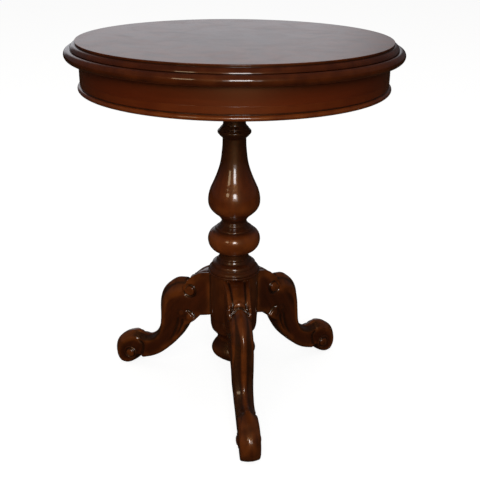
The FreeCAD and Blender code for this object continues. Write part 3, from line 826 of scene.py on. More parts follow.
@dataclass
class Finial:
    """The turned drop under the drum, with its spigot."""

    segments: int = 128
    shoulder: float = 121.5
    spigot_top: float = 155.5
    spigot_radius: float = 9.0

    def outline(self) -> Outline:
        """Half section of the drop, from the middle of its foot."""
        return Outline((
            (0.0, 60.0), (18.8, 64.2, -0.05), (28.5, 71.2, -0.04), (38.2, 78.6, -0.03),
            (41.0, 81.0), (44.0, 86.3, -0.06), (44.8, 91.0, -0.06), (42.5, 98.0, -0.06),
            (36.2, 107.0, -0.03), (33.6, 112.5, 0.03), (32.4, self.shoulder, 0.05),
            (self.spigot_radius, self.shoulder), (self.spigot_radius, self.spigot_top),
            (0.0, self.spigot_top)))

    def build(self, finish: Material) -> None:
        """Add the finial to the scene."""
        made = lathe("finial_turning", self.outline(), self.segments, GrainRun.UPRIGHT)
        add_piece("finial_turning", made, "drop_finial", finish)


# Carved legs


def beside(points: Array, line: Array, batch: int = 8000) -> tuple[Array, Array]:
    """Measure points against a line.

    Args:
        points: Points in the plane of the leg.
        line: Points of the line.
        batch: Number of points measured at a time.

    Returns:
        The distance of each point, and how far along the line it lies, from 0 to 1.
    """
    start, run = line[:-1], np.diff(line, axis=0)
    square_length = (run ** 2).sum(1)
    length = np.sqrt(square_length)
    past = np.concatenate([[0.0], np.cumsum(length)])
    distance, along = np.empty(len(points)), np.empty(len(points))
    for low in range(0, len(points), batch):
        here = points[low:low + batch]
        right, up = here[:, :1] - start[:, 0], here[:, 1:] - start[:, 1]
        share = np.clip((right * run[:, 0] + up * run[:, 1]) / square_length, 0.0, 1.0)
        square = (right - share * run[:, 0]) ** 2 + (up - share * run[:, 1]) ** 2
        best = square.argmin(1)
        row = np.arange(len(here))
        distance[low:low + batch] = np.sqrt(square[row, best])
        along[low:low + batch] = (past[best] + share[row, best] * length[best]) / past[-1]
    return distance, along


def within(points: Array, loop: Array, batch: int = 8000) -> Array:
    """Whether each point lies inside a closed loop of points."""
    start, end = loop, np.roll(loop, -1, axis=0)
    rise = np.where(end[:, 1] == start[:, 1], 1.0, end[:, 1] - start[:, 1])
    found = np.empty(len(points), bool)
    for low in range(0, len(points), batch):
        out, up = points[low:low + batch, :1], points[low:low + batch, 1:]
        spans = (start[:, 1] > up) != (end[:, 1] > up)
        cross = start[:, 0] + (up - start[:, 1]) / rise * (end[:, 0] - start[:, 0])
        found[low:low + batch] = (spans & (out < cross)).sum(1) % 2 == 1
    return found


def net(values: Array) -> tuple[Array, Array]:
    """Skin a grid of depths with one point per crossed cell.

    Args:
        values: Depths, negative inside the wood.

    Returns:
        Points in steps of the grid, and four-sided faces that point outwards.
    """
    inside = values < 0.0
    size = np.array(values.shape) - 1
    corners = sum(inside[i:i + size[0], j:j + size[1], k:k + size[2]].astype(np.int8)
                  for i, j, k in np.ndindex(2, 2, 2))
    crossed = (corners > 0) & (corners < 8)
    number = np.full(corners.shape, -1, np.int64)
    cells = np.argwhere(crossed)
    number[crossed] = np.arange(len(cells))
    total, hits = np.zeros((len(cells), 3)), np.zeros(len(cells))
    faces: list[Array] = []
    unit = np.eye(3, dtype=int)
    for axis in range(3):
        second, third = (axis + 1) % 3, (axis + 2) % 3
        for i, j in np.ndindex(2, 2):
            start = cells + i * unit[second] + j * unit[third]
            low, high = values[tuple(start.T)], values[tuple((start + unit[axis]).T)]
            cut = (low < 0.0) != (high < 0.0)
            share = np.where(cut, low / np.where(cut, low - high, 1.0), 0.0)
            total[cut] += (start + share[:, None] * unit[axis])[cut]
            hits += cut
        low = np.take(inside, range(size[axis]), axis)
        high = np.take(inside, range(1, size[axis] + 1), axis)
        for rising in (True, False):
            edges = np.argwhere(low & ~high if rising else ~low & high)
            edges = edges[(edges[:, second] > 0) & (edges[:, third] > 0)
                          & (edges[:, second] < size[second]) & (edges[:, third] < size[third])]
            ring = [edges - unit[second] - unit[third], edges - unit[third], edges,
                    edges - unit[second]]
            quad = np.stack([number[tuple(cell.T)] for cell in ring], axis=1)
            faces.append(quad if rising else quad[:, ::-1])
    return total / np.maximum(hits, 1)[:, None], np.vstack(faces)


def blurred(values: Array, spread: float, tail: float = 2.5) -> Array:
    """Blur a grid of depths over a number of steps, out to a number of spreads."""
    reach = math.ceil(tail * spread)
    weights = np.exp(-0.5 * (np.arange(-reach, reach + 1) / spread) ** 2)
    for axis in range(3):
        padded = np.pad(values, [(reach, reach) if side == axis else (0, 0) for side in range(3)],
                        mode="edge")
        values = sum(weight * np.take(padded, range(place, place + values.shape[axis]), axis)
                     for place, weight in enumerate(weights / weights.sum()))
    return values


def sampled(values: Array, place: Array) -> Array:
    """Read a grid of depths between its points."""
    low = np.clip(place.astype(int), 0, np.array(values.shape) - 2)
    share = place - low
    total = np.zeros(len(place))
    for corner in np.ndindex(2, 2, 2):
        weight = np.prod(np.where(corner, share, 1.0 - share), axis=1)
        total += weight * values[tuple((low + corner).T)]
    return total


@dataclass(frozen=True)
class Gouge:
    """A groove cut along a line, deepest in the middle of its width."""

    points: Line
    half_width: float
    depth: float
    fade_in: float = 0.12
    fade_out: float = 0.12
    bowl: float = 0.8
    step: float = 1.6
    end_width: float = 0.35

    def cut(self, place: Array) -> Array:
        """Depth of the groove at each place in the plane of the leg."""
        line = smooth_line(self.points, self.step)
        near = ((place > line.min(0) - self.half_width)
                & (place < line.max(0) + self.half_width)).all(1)
        distance, along = beside(place[near], line)
        fade = band(along, (0.0, self.fade_in), (1.0 - self.fade_out, 1.0))
        width = self.half_width * (self.end_width + (1.0 - self.end_width) * fade)
        depth = np.zeros(len(place))
        depth[near] = self.depth * fade * dish(distance, width) ** self.bowl
        return depth


@dataclass
class ScrollLeg:
    """A carved scroll leg in its own plane: x out from the axis, y across, z up.

    A span is where a step starts and ends. A ridge, groove or bead is given by its
    middle and its width.
    """

    outer: Line = (
        (30.0, 262.8), (52.0, 258.6), (64.0, 255.4), (75.0, 249.6), (81.0, 245.2), (86.5, 240.6),
        (91.5, 235.6), (95.2, 231.4), (96.6, 229.0), (96.8, 227.2))
    knee: Line = (
        (97.2, 227.0), (103.0, 228.7), (112.0, 228.0), (120.0, 226.8), (128.0, 223.6),
        (137.0, 217.0), (146.0, 209.0), (153.5, 200.5), (159.8, 190.0), (163.8, 179.0),
        (166.2, 167.0), (167.2, 152.0), (167.2, 135.0), (168.0, 116.0), (170.8, 103.0),
        (176.4, 92.0), (185.0, 83.6), (198.0, 78.2), (211.0, 78.8), (220.0, 81.6), (231.0, 81.0),
        (244.5, 76.0), (257.0, 68.5), (269.0, 57.8), (276.4, 45.8), (279.4, 31.0), (276.6, 17.0),
        (270.0, 7.5), (261.5, 1.2), (250.0, 0.0), (240.0, 2.6), (231.0, 8.4), (224.2, 14.0),
        (218.0, 19.8))
    belly: Line = (
        (217.4, 20.2), (208.0, 22.4), (198.0, 25.6), (184.5, 31.0), (170.0, 39.4), (158.0, 48.9),
        (147.0, 59.4), (135.5, 70.8), (126.0, 81.6), (117.5, 93.4), (109.5, 107.0),
        (104.0, 118.0), (101.4, 126.4))
    root: Line = (
        (101.3, 126.6), (98.0, 128.4), (94.0, 131.4), (87.0, 136.6), (80.2, 142.2), (73.0, 149.9),
        (67.6, 156.8), (64.6, 158.9))
    root_back: Line = ((57.8, 160.9), (46.5, 164.4), (30.0, 169.5))
    # Half width, crown depth and edge rounding at places along the leg
    stations: Line = (
        (40.0, 230.0, 26.0, 16.0, 1.6), (40.0, 175.0, 26.0, 16.0, 1.6),
        (52.0, 230.0, 23.2, 20.0, 1.6), (52.0, 175.0, 23.2, 20.0, 1.6),
        (68.0, 230.0, 21.5, 24.0, 1.6), (68.0, 175.0, 21.5, 24.0, 1.8),
        (92.0, 220.0, 21.2, 27.0, 2.0), (92.0, 165.0, 21.2, 27.0, 3.0),
        (118.0, 208.0, 21.0, 24.0, 4.0), (122.0, 170.0, 21.0, 24.0, 5.0),
        (140.0, 195.0, 21.0, 19.5, 5.0), (148.0, 172.0, 21.0, 17.0, 6.0),
        (150.0, 150.0, 20.7, 13.5, 7.0), (145.0, 125.0, 20.2, 10.8, 7.0),
        (148.0, 100.0, 19.3, 9.8, 8.0), (163.0, 78.0, 18.2, 9.5, 9.0),
        (185.0, 58.0, 17.3, 10.0, 9.0), (208.0, 48.0, 17.3, 10.0, 8.0),
        (226.0, 52.0, 18.8, 10.5, 6.0), (244.0, 46.0, 20.0, 11.5, 5.0),
        (268.0, 46.0, 19.4, 12.5, 5.0), (276.0, 24.0, 19.4, 10.0, 4.0),
        (262.0, 5.0, 18.6, 1.6, 2.0), (238.0, 8.0, 17.8, 3.0, 5.0))
    station_reach: float = 13.0
    seat: float = 40.35
    seat_ease: float = 2.6
    # Strap: rails, sunk panel and the lip with its horns at the end
    strap_end: float = 93.6
    strap_fall: float = 2.6
    strap_half: float = 21.0
    horn_reach: float = 3.0
    horn_span: Span = (7.0, 14.0)
    rail_span: Span = (16.0, 19.0)
    rail_start: float = 18.6
    rail_width: float = 2.4
    rail_fall: float = 0.9
    panel_depth: float = 1.0
    panel_bow: float = 0.012
    panel_span: Span = (10.0, 12.4)
    groove: Span = (12.4, 1.9)
    groove_depth: float = 3.4
    lip: Span = (-1.0, 2.4)
    bead: Span = (-0.7, 1.8)
    bead_rise: float = 0.9
    valley: Span = (3.8, 2.4)
    valley_depth: float = 2.8
    sunk_span: Span = (85.0, 97.0)
    sunk_share: float = 0.6
    # Crown: its ridge, the flutes beside it and the tongue of the foot
    ridge_bend: float = 0.3
    ridge_keen: Span = (0.25, 0.3)
    keen_span: Span = (110.0, 150.0)
    flute: Span = (0.52, 0.23)
    flute_depth: float = 1.5
    flute_drift: float = 0.14
    drift_span: Span = (110.0, 190.0)
    flute_spans: tuple[Span, Span] = ((103.0, 120.0), (206.0, 222.0))
    arris: Span = (0.86, 0.11)
    arris_share: float = 0.35
    arris_ease: Span = (1.5, 1.3)
    arris_span: Span = (104.0, 125.0)
    foot_flat: float = 2.5
    foot_span: Span = (218.0, 230.0)
    tongue_half: float = 3.0
    tongue_flare: float = 12.5
    tongue_rise: float = 1.5
    flare_span: Span = (215.0, 250.0)
    brim_fall: float = 2.6
    tongue_spans: tuple[Span, Span] = ((208.0, 220.0), (252.0, 263.0))
    # Flanks: spiral and rolled end of the strap, boss of the foot, buds, gouges
    scroll_centre: Span = (89.0, 210.6)
    spiral_steps: int = 34
    spiral_start: float = 12.0
    spiral_sweep: float = 400.0
    spiral_reach: tuple[float, float, float] = (14.6, 1.4, 7.6)
    spiral_width: float = 3.4
    spiral_depth: float = 3.9
    roll_radius: float = 12.4
    roll_rise: float = 2.2
    roll_rim: Span = (15.2, 1.4)
    roll_rim_rise: float = 0.9
    roll_rim_span: Span = (84.0, 92.0)
    roll_span: Span = (15.0, 17.4)
    boss_centre: Span = (237.0, 30.5)
    boss_radius: float = 8.4
    boss_rise: float = 1.8
    boss_plate: Span = (12.6, 15.6)
    boss_plate_rise: float = 2.4
    boss_ring: Span = (11.0, 2.6)
    boss_ring_depth: float = 2.5
    bud_centres: Line = ((91.5, 148.0), (109.5, 154.5))
    bud_radius: float = 8.0
    bud_rise: float = 1.5
    edge_rise: float = 1.0
    edge_width: Span = (2.4, 4.2)
    edge_span: Span = (95.0, 98.5)
    gouges: tuple[Gouge, ...] = (
        Gouge(((74.0, 144.0), (79.0, 151.5), (85.0, 158.0), (92.0, 162.2), (101.5, 163.6)),
              4.9, 5.0, 0.02, 0.3, 1.1),
        Gouge(((112.5, 148.5), (117.0, 140.0), (120.0, 127.0), (126.0, 109.0), (134.0, 92.0),
               (147.0, 74.0)), 6.5, 1.9, 0.25, 0.55, 1.9),
        Gouge(((103.0, 146.0), (107.0, 138.0), (109.5, 127.0), (114.5, 112.5), (123.0, 97.0),
               (134.0, 83.0)), 5.0, 2.2, 0.2, 0.5, 1.8),
        Gouge(((219.5, 86.0), (214.5, 68.0), (206.0, 57.0), (207.0, 41.0), (212.0, 28.0),
               (217.5, 19.5)), 4.6, 1.6, 0.1, 0.02),
        Gouge(((118.0, 188.0), (131.0, 176.0), (137.0, 158.0), (140.0, 135.0), (145.0, 108.0),
               (155.0, 88.0)), 9.0, 1.3, 0.3, 0.4))
    # Grids: the leg's plane in two directions, and the block of wood in three
    map_step: float = 0.5
    map_low: Span = (36.0, -5.0)
    map_high: Span = (287.0, 268.0)
    map_edge: float = 1.001
    grid: float = 1.15
    coarse_step: int = 2
    grid_margin: tuple[float, float, float] = (3.2, 30.5, 2.5)
    grid_top: Span = (285.0, 266.0)
    cells_across: int = 62
    settlings: int = 3
    nudge: float = 0.25
    longest_move: float = 0.5
    least_slope: float = 0.2
    fine_blur: float = 2.0
    fine_depth: float = 0.42
    broad_blur: float = 3.0
    broad_depth: float = 2.6
    # Age and painted shade: painted shade behind the lip and beside the ridge, a dark joint at the
    # seat, wear on the strap
    seat_dirt: Span = (0.6, 3.4)
    # painted shade in the hollow under the strap's lip
    lip_shade_strength: float = 0.8
    lip_shade: Span = (8.0, 4.5)
    lip_height: Span = (214.0, 222.0)
    lip_width: Span = (15.0, 20.0)
    # painted shade on the crown's facets beside its ridge, which leaves the ridge reading as lit
    ridge_side_shade: float = 0.7
    ridge_half: Span = (7.5, 4.5)
    ridge_narrowing: Span = (120.0, 165.0)
    ridge_fade: float = 4.0
    crown_depth: Span = (9.0, 13.0)
    crown_spans: tuple[Span, Span] = ((98.0, 106.0), (222.0, 240.0))
    rub_span: Span = (90.0, 94.0)
    rub_depth: Span = (1.6, 3.0)
    rub_gain: float = 1.15
    most_swell: float = 0.5
    leg_spacing: float = 120.0
    first_turn: float = -90.0
    grain_lean: Span = (24.0, 5.0)
    grain_shift: float = 300.0
    maps: dict[str, Array] = field(default_factory=dict)

    def _spiral(self) -> Gouge:
        """The curling groove round the rolled end of the strap."""
        share = np.linspace(0.0, 1.0, self.spiral_steps)
        angle = np.radians(self.spiral_start - self.spiral_sweep * share)
        whole, steady, curl = self.spiral_reach
        reach = whole - steady * share - curl * share ** 3
        line = (self.scroll_centre[0] + reach * np.cos(angle),
                self.scroll_centre[1] + reach * np.sin(angle))
        return Gouge(tuple(zip(*line)), self.spiral_width, self.spiral_depth,
                     fade_in=0.22, fade_out=0.2, bowl=1.1, step=1.0)

    def _carved(self, place: Array, to_outer: Array) -> Array:
        """Depth of the carving of the flanks.

        Args:
            place: Places in the plane of the leg.
            to_outer: Their distances from the outer outline.

        Returns:
            How much the half width of the leg is less at each place.
        """
        out = place[:, 0]
        boss, roll, *buds = (np.hypot(*(place - centre).T) for centre in (
            self.boss_centre, self.scroll_centre, *self.bud_centres))
        cuts = [gouge.cut(place) for gouge in (self._spiral(), *self.gouges)]
        cuts.append(self.boss_ring_depth * dish(boss - self.boss_ring[0], self.boss_ring[1]))
        carved = np.maximum.reduce(cuts)
        carved -= self.boss_rise * np.sqrt(dish(boss, self.boss_radius))
        carved -= self.boss_plate_rise * step_down(boss, *self.boss_plate)
        for bud in buds:
            carved -= self.bud_rise * dish(bud, self.bud_radius)
        carved -= self.roll_rise * np.sqrt(dish(roll, self.roll_radius))
        carved -= (self.roll_rim_rise * hill(roll, *self.roll_rim)
                   * step_up(out, *self.roll_rim_span))
        return carved - (self.edge_rise * step_down(to_outer, *self.edge_width)
                         * step_down(out, *self.edge_span))

    def _measure(self) -> None:
        """Map the leg's plane once: depths inside its outlines, and its stations."""
        sides = [np.arange(low, high, self.map_step)
                 for low, high in zip(self.map_low, self.map_high)]
        place = np.stack(np.meshgrid(*sides, indexing="ij"), axis=-1).reshape(-1, 2)
        outer = np.vstack([smooth_line(self.outer), smooth_line(self.knee)])
        inner = np.vstack([smooth_line(self.belly), smooth_line(self.root), self.root_back])
        solid = within(place, np.vstack([outer, inner]))
        to_outer, to_inner = beside(place, outer)[0], beside(place, inner)[0]
        nearer = to_outer < to_inner
        stations = np.array(self.stations)
        square = ((place[:, None] - stations[None, :, :2]) ** 2).sum(2)
        weight = np.exp((square.min(1, keepdims=True) - square) / (2 * self.station_reach ** 2))
        weight /= weight.sum(1, keepdims=True)
        half, crown, ease = (weight @ stations[:, column] for column in (2, 3, 4))
        found = {"outer": np.where(solid | ~nearer, to_outer, -to_outer),
                 "inner": np.where(solid | nearer, to_inner, -to_inner),
                 "half": half - self._carved(place, to_outer), "crown": crown, "ease": ease}
        shape = [len(side) for side in sides]
        self.maps.update({name: values.reshape(shape) for name, values in found.items()})

    def _read(self, name: str, out: Array, up: Array) -> Array:
        """Read a map between its grid points."""
        table = self.maps[name]
        across, upward = (np.clip((value - low) / self.map_step, 0, count - self.map_edge)
                          for value, low, count in zip((out, up), self.map_low, table.shape))
        column, row = across.astype(int), upward.astype(int)
        right, top = across - column, upward - row
        return ((table[column, row] * (1 - top) + table[column, row + 1] * top) * (1 - right)
                + (table[column + 1, row] * (1 - top) + table[column + 1, row + 1] * top) * right)

    def _crowned(self, out: Array, wide: Array, half: Array, crown: Array) -> Array:
        """How far the plain crown of the leg falls away from its ridge.

        Args:
            out: Distance out from the table's axis.
            wide: Distance from the leg's middle plane.
            half: Half width of the leg.
            crown: Fall of the crown at its edges.

        Returns:
            The fall.
        """
        flat = self.foot_flat * step_up(out, *self.foot_span)
        share = np.maximum(wide - flat, 0.0) / np.maximum(half - flat, 1.0)
        bend = self.ridge_bend
        ridge = (np.hypot(share, bend) - bend) / (math.hypot(1.0, bend) - bend)
        keen = self.ridge_keen[0] + self.ridge_keen[1] * step_up(out, *self.keen_span)
        return crown * (keen * ridge + (1.0 - keen) * share ** 2)

    def _fluted(self, roof: Array, out: Array, wide: Array, half: Array) -> Array:
        """Cut the flutes and the tongue of the foot.

        Args:
            roof: Fall of the plain crown.
            out: Distance out from the table's axis.
            wide: Distance from the leg's middle plane.
            half: Half width of the leg.

        Returns:
            The fall of the crown with both.
        """
        reach = wide / np.maximum(half, 1.0)
        drift = self.flute_drift * step_up(out, *self.drift_span)
        flute = hill(reach + drift, *self.flute) - self.arris_share * hill(reach, *self.arris)
        roof = roof + self.flute_depth * flute * band(out, *self.flute_spans)
        brim = wide - self.tongue_half - self.tongue_flare * step_up(out, *self.flare_span)
        tongue = self.tongue_rise * step_up(brim, 0.0, self.brim_fall)
        return roof + tongue * band(out, *self.tongue_spans)

    def depth(self, out: Array, across: Array, up: Array) -> Array:
        """How far outside the wood each point is.

        Args:
            out: Distance out from the table's axis.
            across: Distance across the leg.
            up: Height.

        Returns:
            A length that is negative inside the wood.
        """
        outer, inner, half, crown, ease = (
            self._read(name, out, up) for name in ("outer", "inner", "half", "crown", "ease"))
        wide = np.abs(across)
        past = out - self.strap_end - self.horn_reach * step_up(wide, *self.horn_span)
        strap = step_down(past, 0.0, self.strap_fall)
        middle = step_down(wide, *self.rail_span)
        roll = np.hypot(out - self.scroll_centre[0], up - self.scroll_centre[1])
        disc = step_down(roll, *self.roll_span) * (1.0 - middle)
        plain = self._crowned(out, wide, half, crown)
        sunk = self.sunk_share * middle * step_up(out, *self.sunk_span) * plain
        roof = self._fluted(plain, out, wide, half)
        roof = roof + self.valley_depth * hill(past, *self.valley) * middle
        edge = wide - np.maximum(half - self.strap_half, 0.0)
        groove = self.groove_depth * hill(edge, *self.groove)
        panel = (self.panel_depth * step_down(edge, *self.panel_span)
                 + self.panel_bow * np.minimum(edge, self.panel_span[0]) ** 2)
        rail = self.rail_fall * (np.maximum(edge - self.rail_start, 0.0) / self.rail_width) ** 2
        bead = self.bead_rise * hill(past, *self.bead) * middle
        top = (groove + panel) * (1.0 - hill(past, *self.lip)) + rail - bead + sunk
        face = strap * top + (1.0 - strap) * roof * (1.0 - disc)
        arris = self.arris_ease[0] + self.arris_ease[1] * step_up(out, *self.arris_span)
        wood = eased_max(face - outer, wide - half, arris)
        wood = eased_max(wood, -inner, ease)
        wood = eased_max(wood, self.seat - out, self.seat_ease)
        return np.maximum(wood, -up)

    def _settled(self, points: Array) -> Array:
        """Move points onto the surface of the wood."""
        steps = self.nudge * np.eye(3)
        slope = np.stack([(self.depth(*(points + step).T) - self.depth(*(points - step).T))
                          / (2 * self.nudge) for step in steps], axis=1)
        size = np.maximum((slope ** 2).sum(1), self.least_slope)
        move = -slope * (self.depth(*points.T) / size)[:, None]
        reach = np.maximum(np.linalg.norm(move, axis=1, keepdims=True), TINY)
        return points + move * np.minimum(1.0, self.longest_move / reach)

    def _aged_and_shaded(self, points: Array, relief: Array, swell: Array) -> tuple[Array, Array]:
        """Paint shade behind the lip and on the top of the leg beside its ridge, darken the seat's
        joint, and rub the strap light.

        Args:
            points: Points on the leg's surface.
            relief: How hollow or proud each point is, closely.
            swell: How hollow or proud each point is, broadly.

        Returns:
            Both values with the marks of age and the painted shade.
        """
        out, wide, up = points[:, 0], np.abs(points[:, 1]), points[:, 2]
        shallow = self._read("outer", out, up)
        shade_behind_lip = (hill(out - self.strap_end, *self.lip_shade)
                      * step_up(up, *self.lip_height) * step_down(wide, *self.lip_width))
        ridge = self.ridge_half[0] - self.ridge_half[1] * step_up(out, *self.ridge_narrowing)
        shade_beside_ridge = (step_up(wide, ridge, ridge + self.ridge_fade)
                        * step_down(shallow, *self.crown_depth) * band(out, *self.crown_spans))
        # the dark seat joint, and painted shade behind the lip and beside the ridge
        relief = np.maximum.reduce([
            relief, step_down(out - self.seat, *self.seat_dirt), self.lip_shade_strength * shade_behind_lip,
            self.ridge_side_shade * shade_beside_ridge])
        on_strap = step_down(out, *self.rub_span) * step_down(shallow, *self.rub_depth)
        return relief, np.minimum(swell, self.most_swell - self.rub_gain * on_strap)

    def skin(self) -> tuple[Array, Array, Array, Array]:
        """Skin the wood.

        Returns:
            Points, four-sided faces, and how hollow or proud each point is, closely
            and broadly, with the marks of age and the painted shade added.
        """
        self._measure()
        margin = self.grid * np.array(self.grid_margin)
        low = np.array([self.seat, 0.0, 0.0]) - margin
        counts = (math.ceil((self.grid_top[0] - low[0]) / self.grid), self.cells_across,
                  math.ceil((self.grid_top[1] - low[2]) / self.grid))
        sides = [start + self.grid * np.arange(count) for start, count in zip(low, counts)]
        out, across, up = np.meshgrid(*sides, indexing="ij", sparse=True)
        out, up = np.broadcast_arrays(out, up)
        depths = self.depth(out, across, up)
        points, faces = net(depths)
        points = low + points * self.grid
        for _ in range(self.settlings):
            points = self._settled(points)
        cells = (points - low) / self.grid
        soft = blurred(depths, self.fine_blur)
        coarse = (slice(None, None, self.coarse_step),) * 3
        broad = blurred(soft[coarse], self.broad_blur)
        relief = np.clip(-sampled(soft, cells) / self.fine_depth, -1.0, 1.0)
        swell = np.clip(-sampled(broad, cells / self.coarse_step) / self.broad_depth, -1.0, 1.0)
        return points, faces, *self._aged_and_shaded(points, relief, swell)

    def build(self, finish: Material) -> None:
        """Add the three legs to the scene, each from its own piece of wood."""
        points, faces, relief, swell = self.skin()
        out, across, up = points.T
        for number, name in enumerate(("front_leg", "right_leg", "left_leg")):
            angle = math.radians(self.first_turn + self.leg_spacing * number)
            turned = np.stack([out * math.cos(angle) - across * math.sin(angle),
                               out * math.sin(angle) + across * math.cos(angle), up], axis=1)
            lean = math.radians(self.grain_lean[0] + self.grain_lean[1] * number)
            grain = np.stack([out * math.cos(lean) + up * math.sin(lean),
                              across + self.grain_shift * (number + 1),
                              up * math.cos(lean) - out * math.sin(lean)], axis=1)
            mesh = make_mesh(name + "_carving", turned, faces.tolist(), grain=grain * MM,
                             relief=relief, swell=swell)
            add_piece(name + "_carving", mesh, name, finish)


@dataclass
class Understructure:
    """Inner pieces that keep their solids and get bare wood or metal."""

    nodes: tuple[tuple[Slot, tuple[str, ...]], ...] = (
        (Slot.CORE_BOARD, ("top_panel", "apron_ring")),
        (Slot.PLAIN_WOOD, ("glue_blocks", "front_bearer", "back_bearer", "pillar_block")),
        (Slot.DOWEL_WOOD, ("tenon_wedge", "front_leg_dowels", "right_leg_dowels",
                           "left_leg_dowels")),
        (Slot.SCREW_METAL, ("pillar_block_screws", "bearer_screws")))

    def dress(self, finishes: dict[Slot, Material]) -> None:
        """Give each kept node its finish."""
        for slot, names in self.nodes:
            for name in names:
                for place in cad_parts[name].material_slots:
                    place.material = finishes[slot]
                LOG.info("%s: kept, %s", name, slot.value)


# Studio


@dataclass(frozen=True)
class Lamp:
    """A soft lamp.

    It hangs a number of degrees round the table from the camera and above its aim,
    away by metres. Its level is the brightness that it gives a white surface.
    """

    name: str
    turn: float
    rise: float
    away: float
    size: Span
    level: float
    colour: Colour
    glossy: bool = True
    aim: Point = (0.0, 0.0, 0.4)

    def hang(self, front: float) -> None:
        """Hang the lamp, with its turn measured from the front in degrees."""
        data = bpy.data.lights.new(self.name, "AREA")
        data.shape, data.size, data.size_y = "RECTANGLE", *self.size
        data.energy = self.level * math.pi ** 2 * self.away ** 2
        data.color = self.colour
        lamp = bpy.data.objects.new(self.name, data)
        bpy.context.scene.collection.objects.link(lamp)
        side, lift = math.radians(self.turn + front), math.radians(self.rise)
        way = Vector((math.cos(side) * math.cos(lift), math.sin(side) * math.cos(lift),
                      math.sin(lift)))
        lamp.location = Vector(self.aim) + self.away * way
        lamp.rotation_euler = (-way).to_track_quat("-Z", "Y").to_euler()
        lamp.visible_glossy = self.glossy


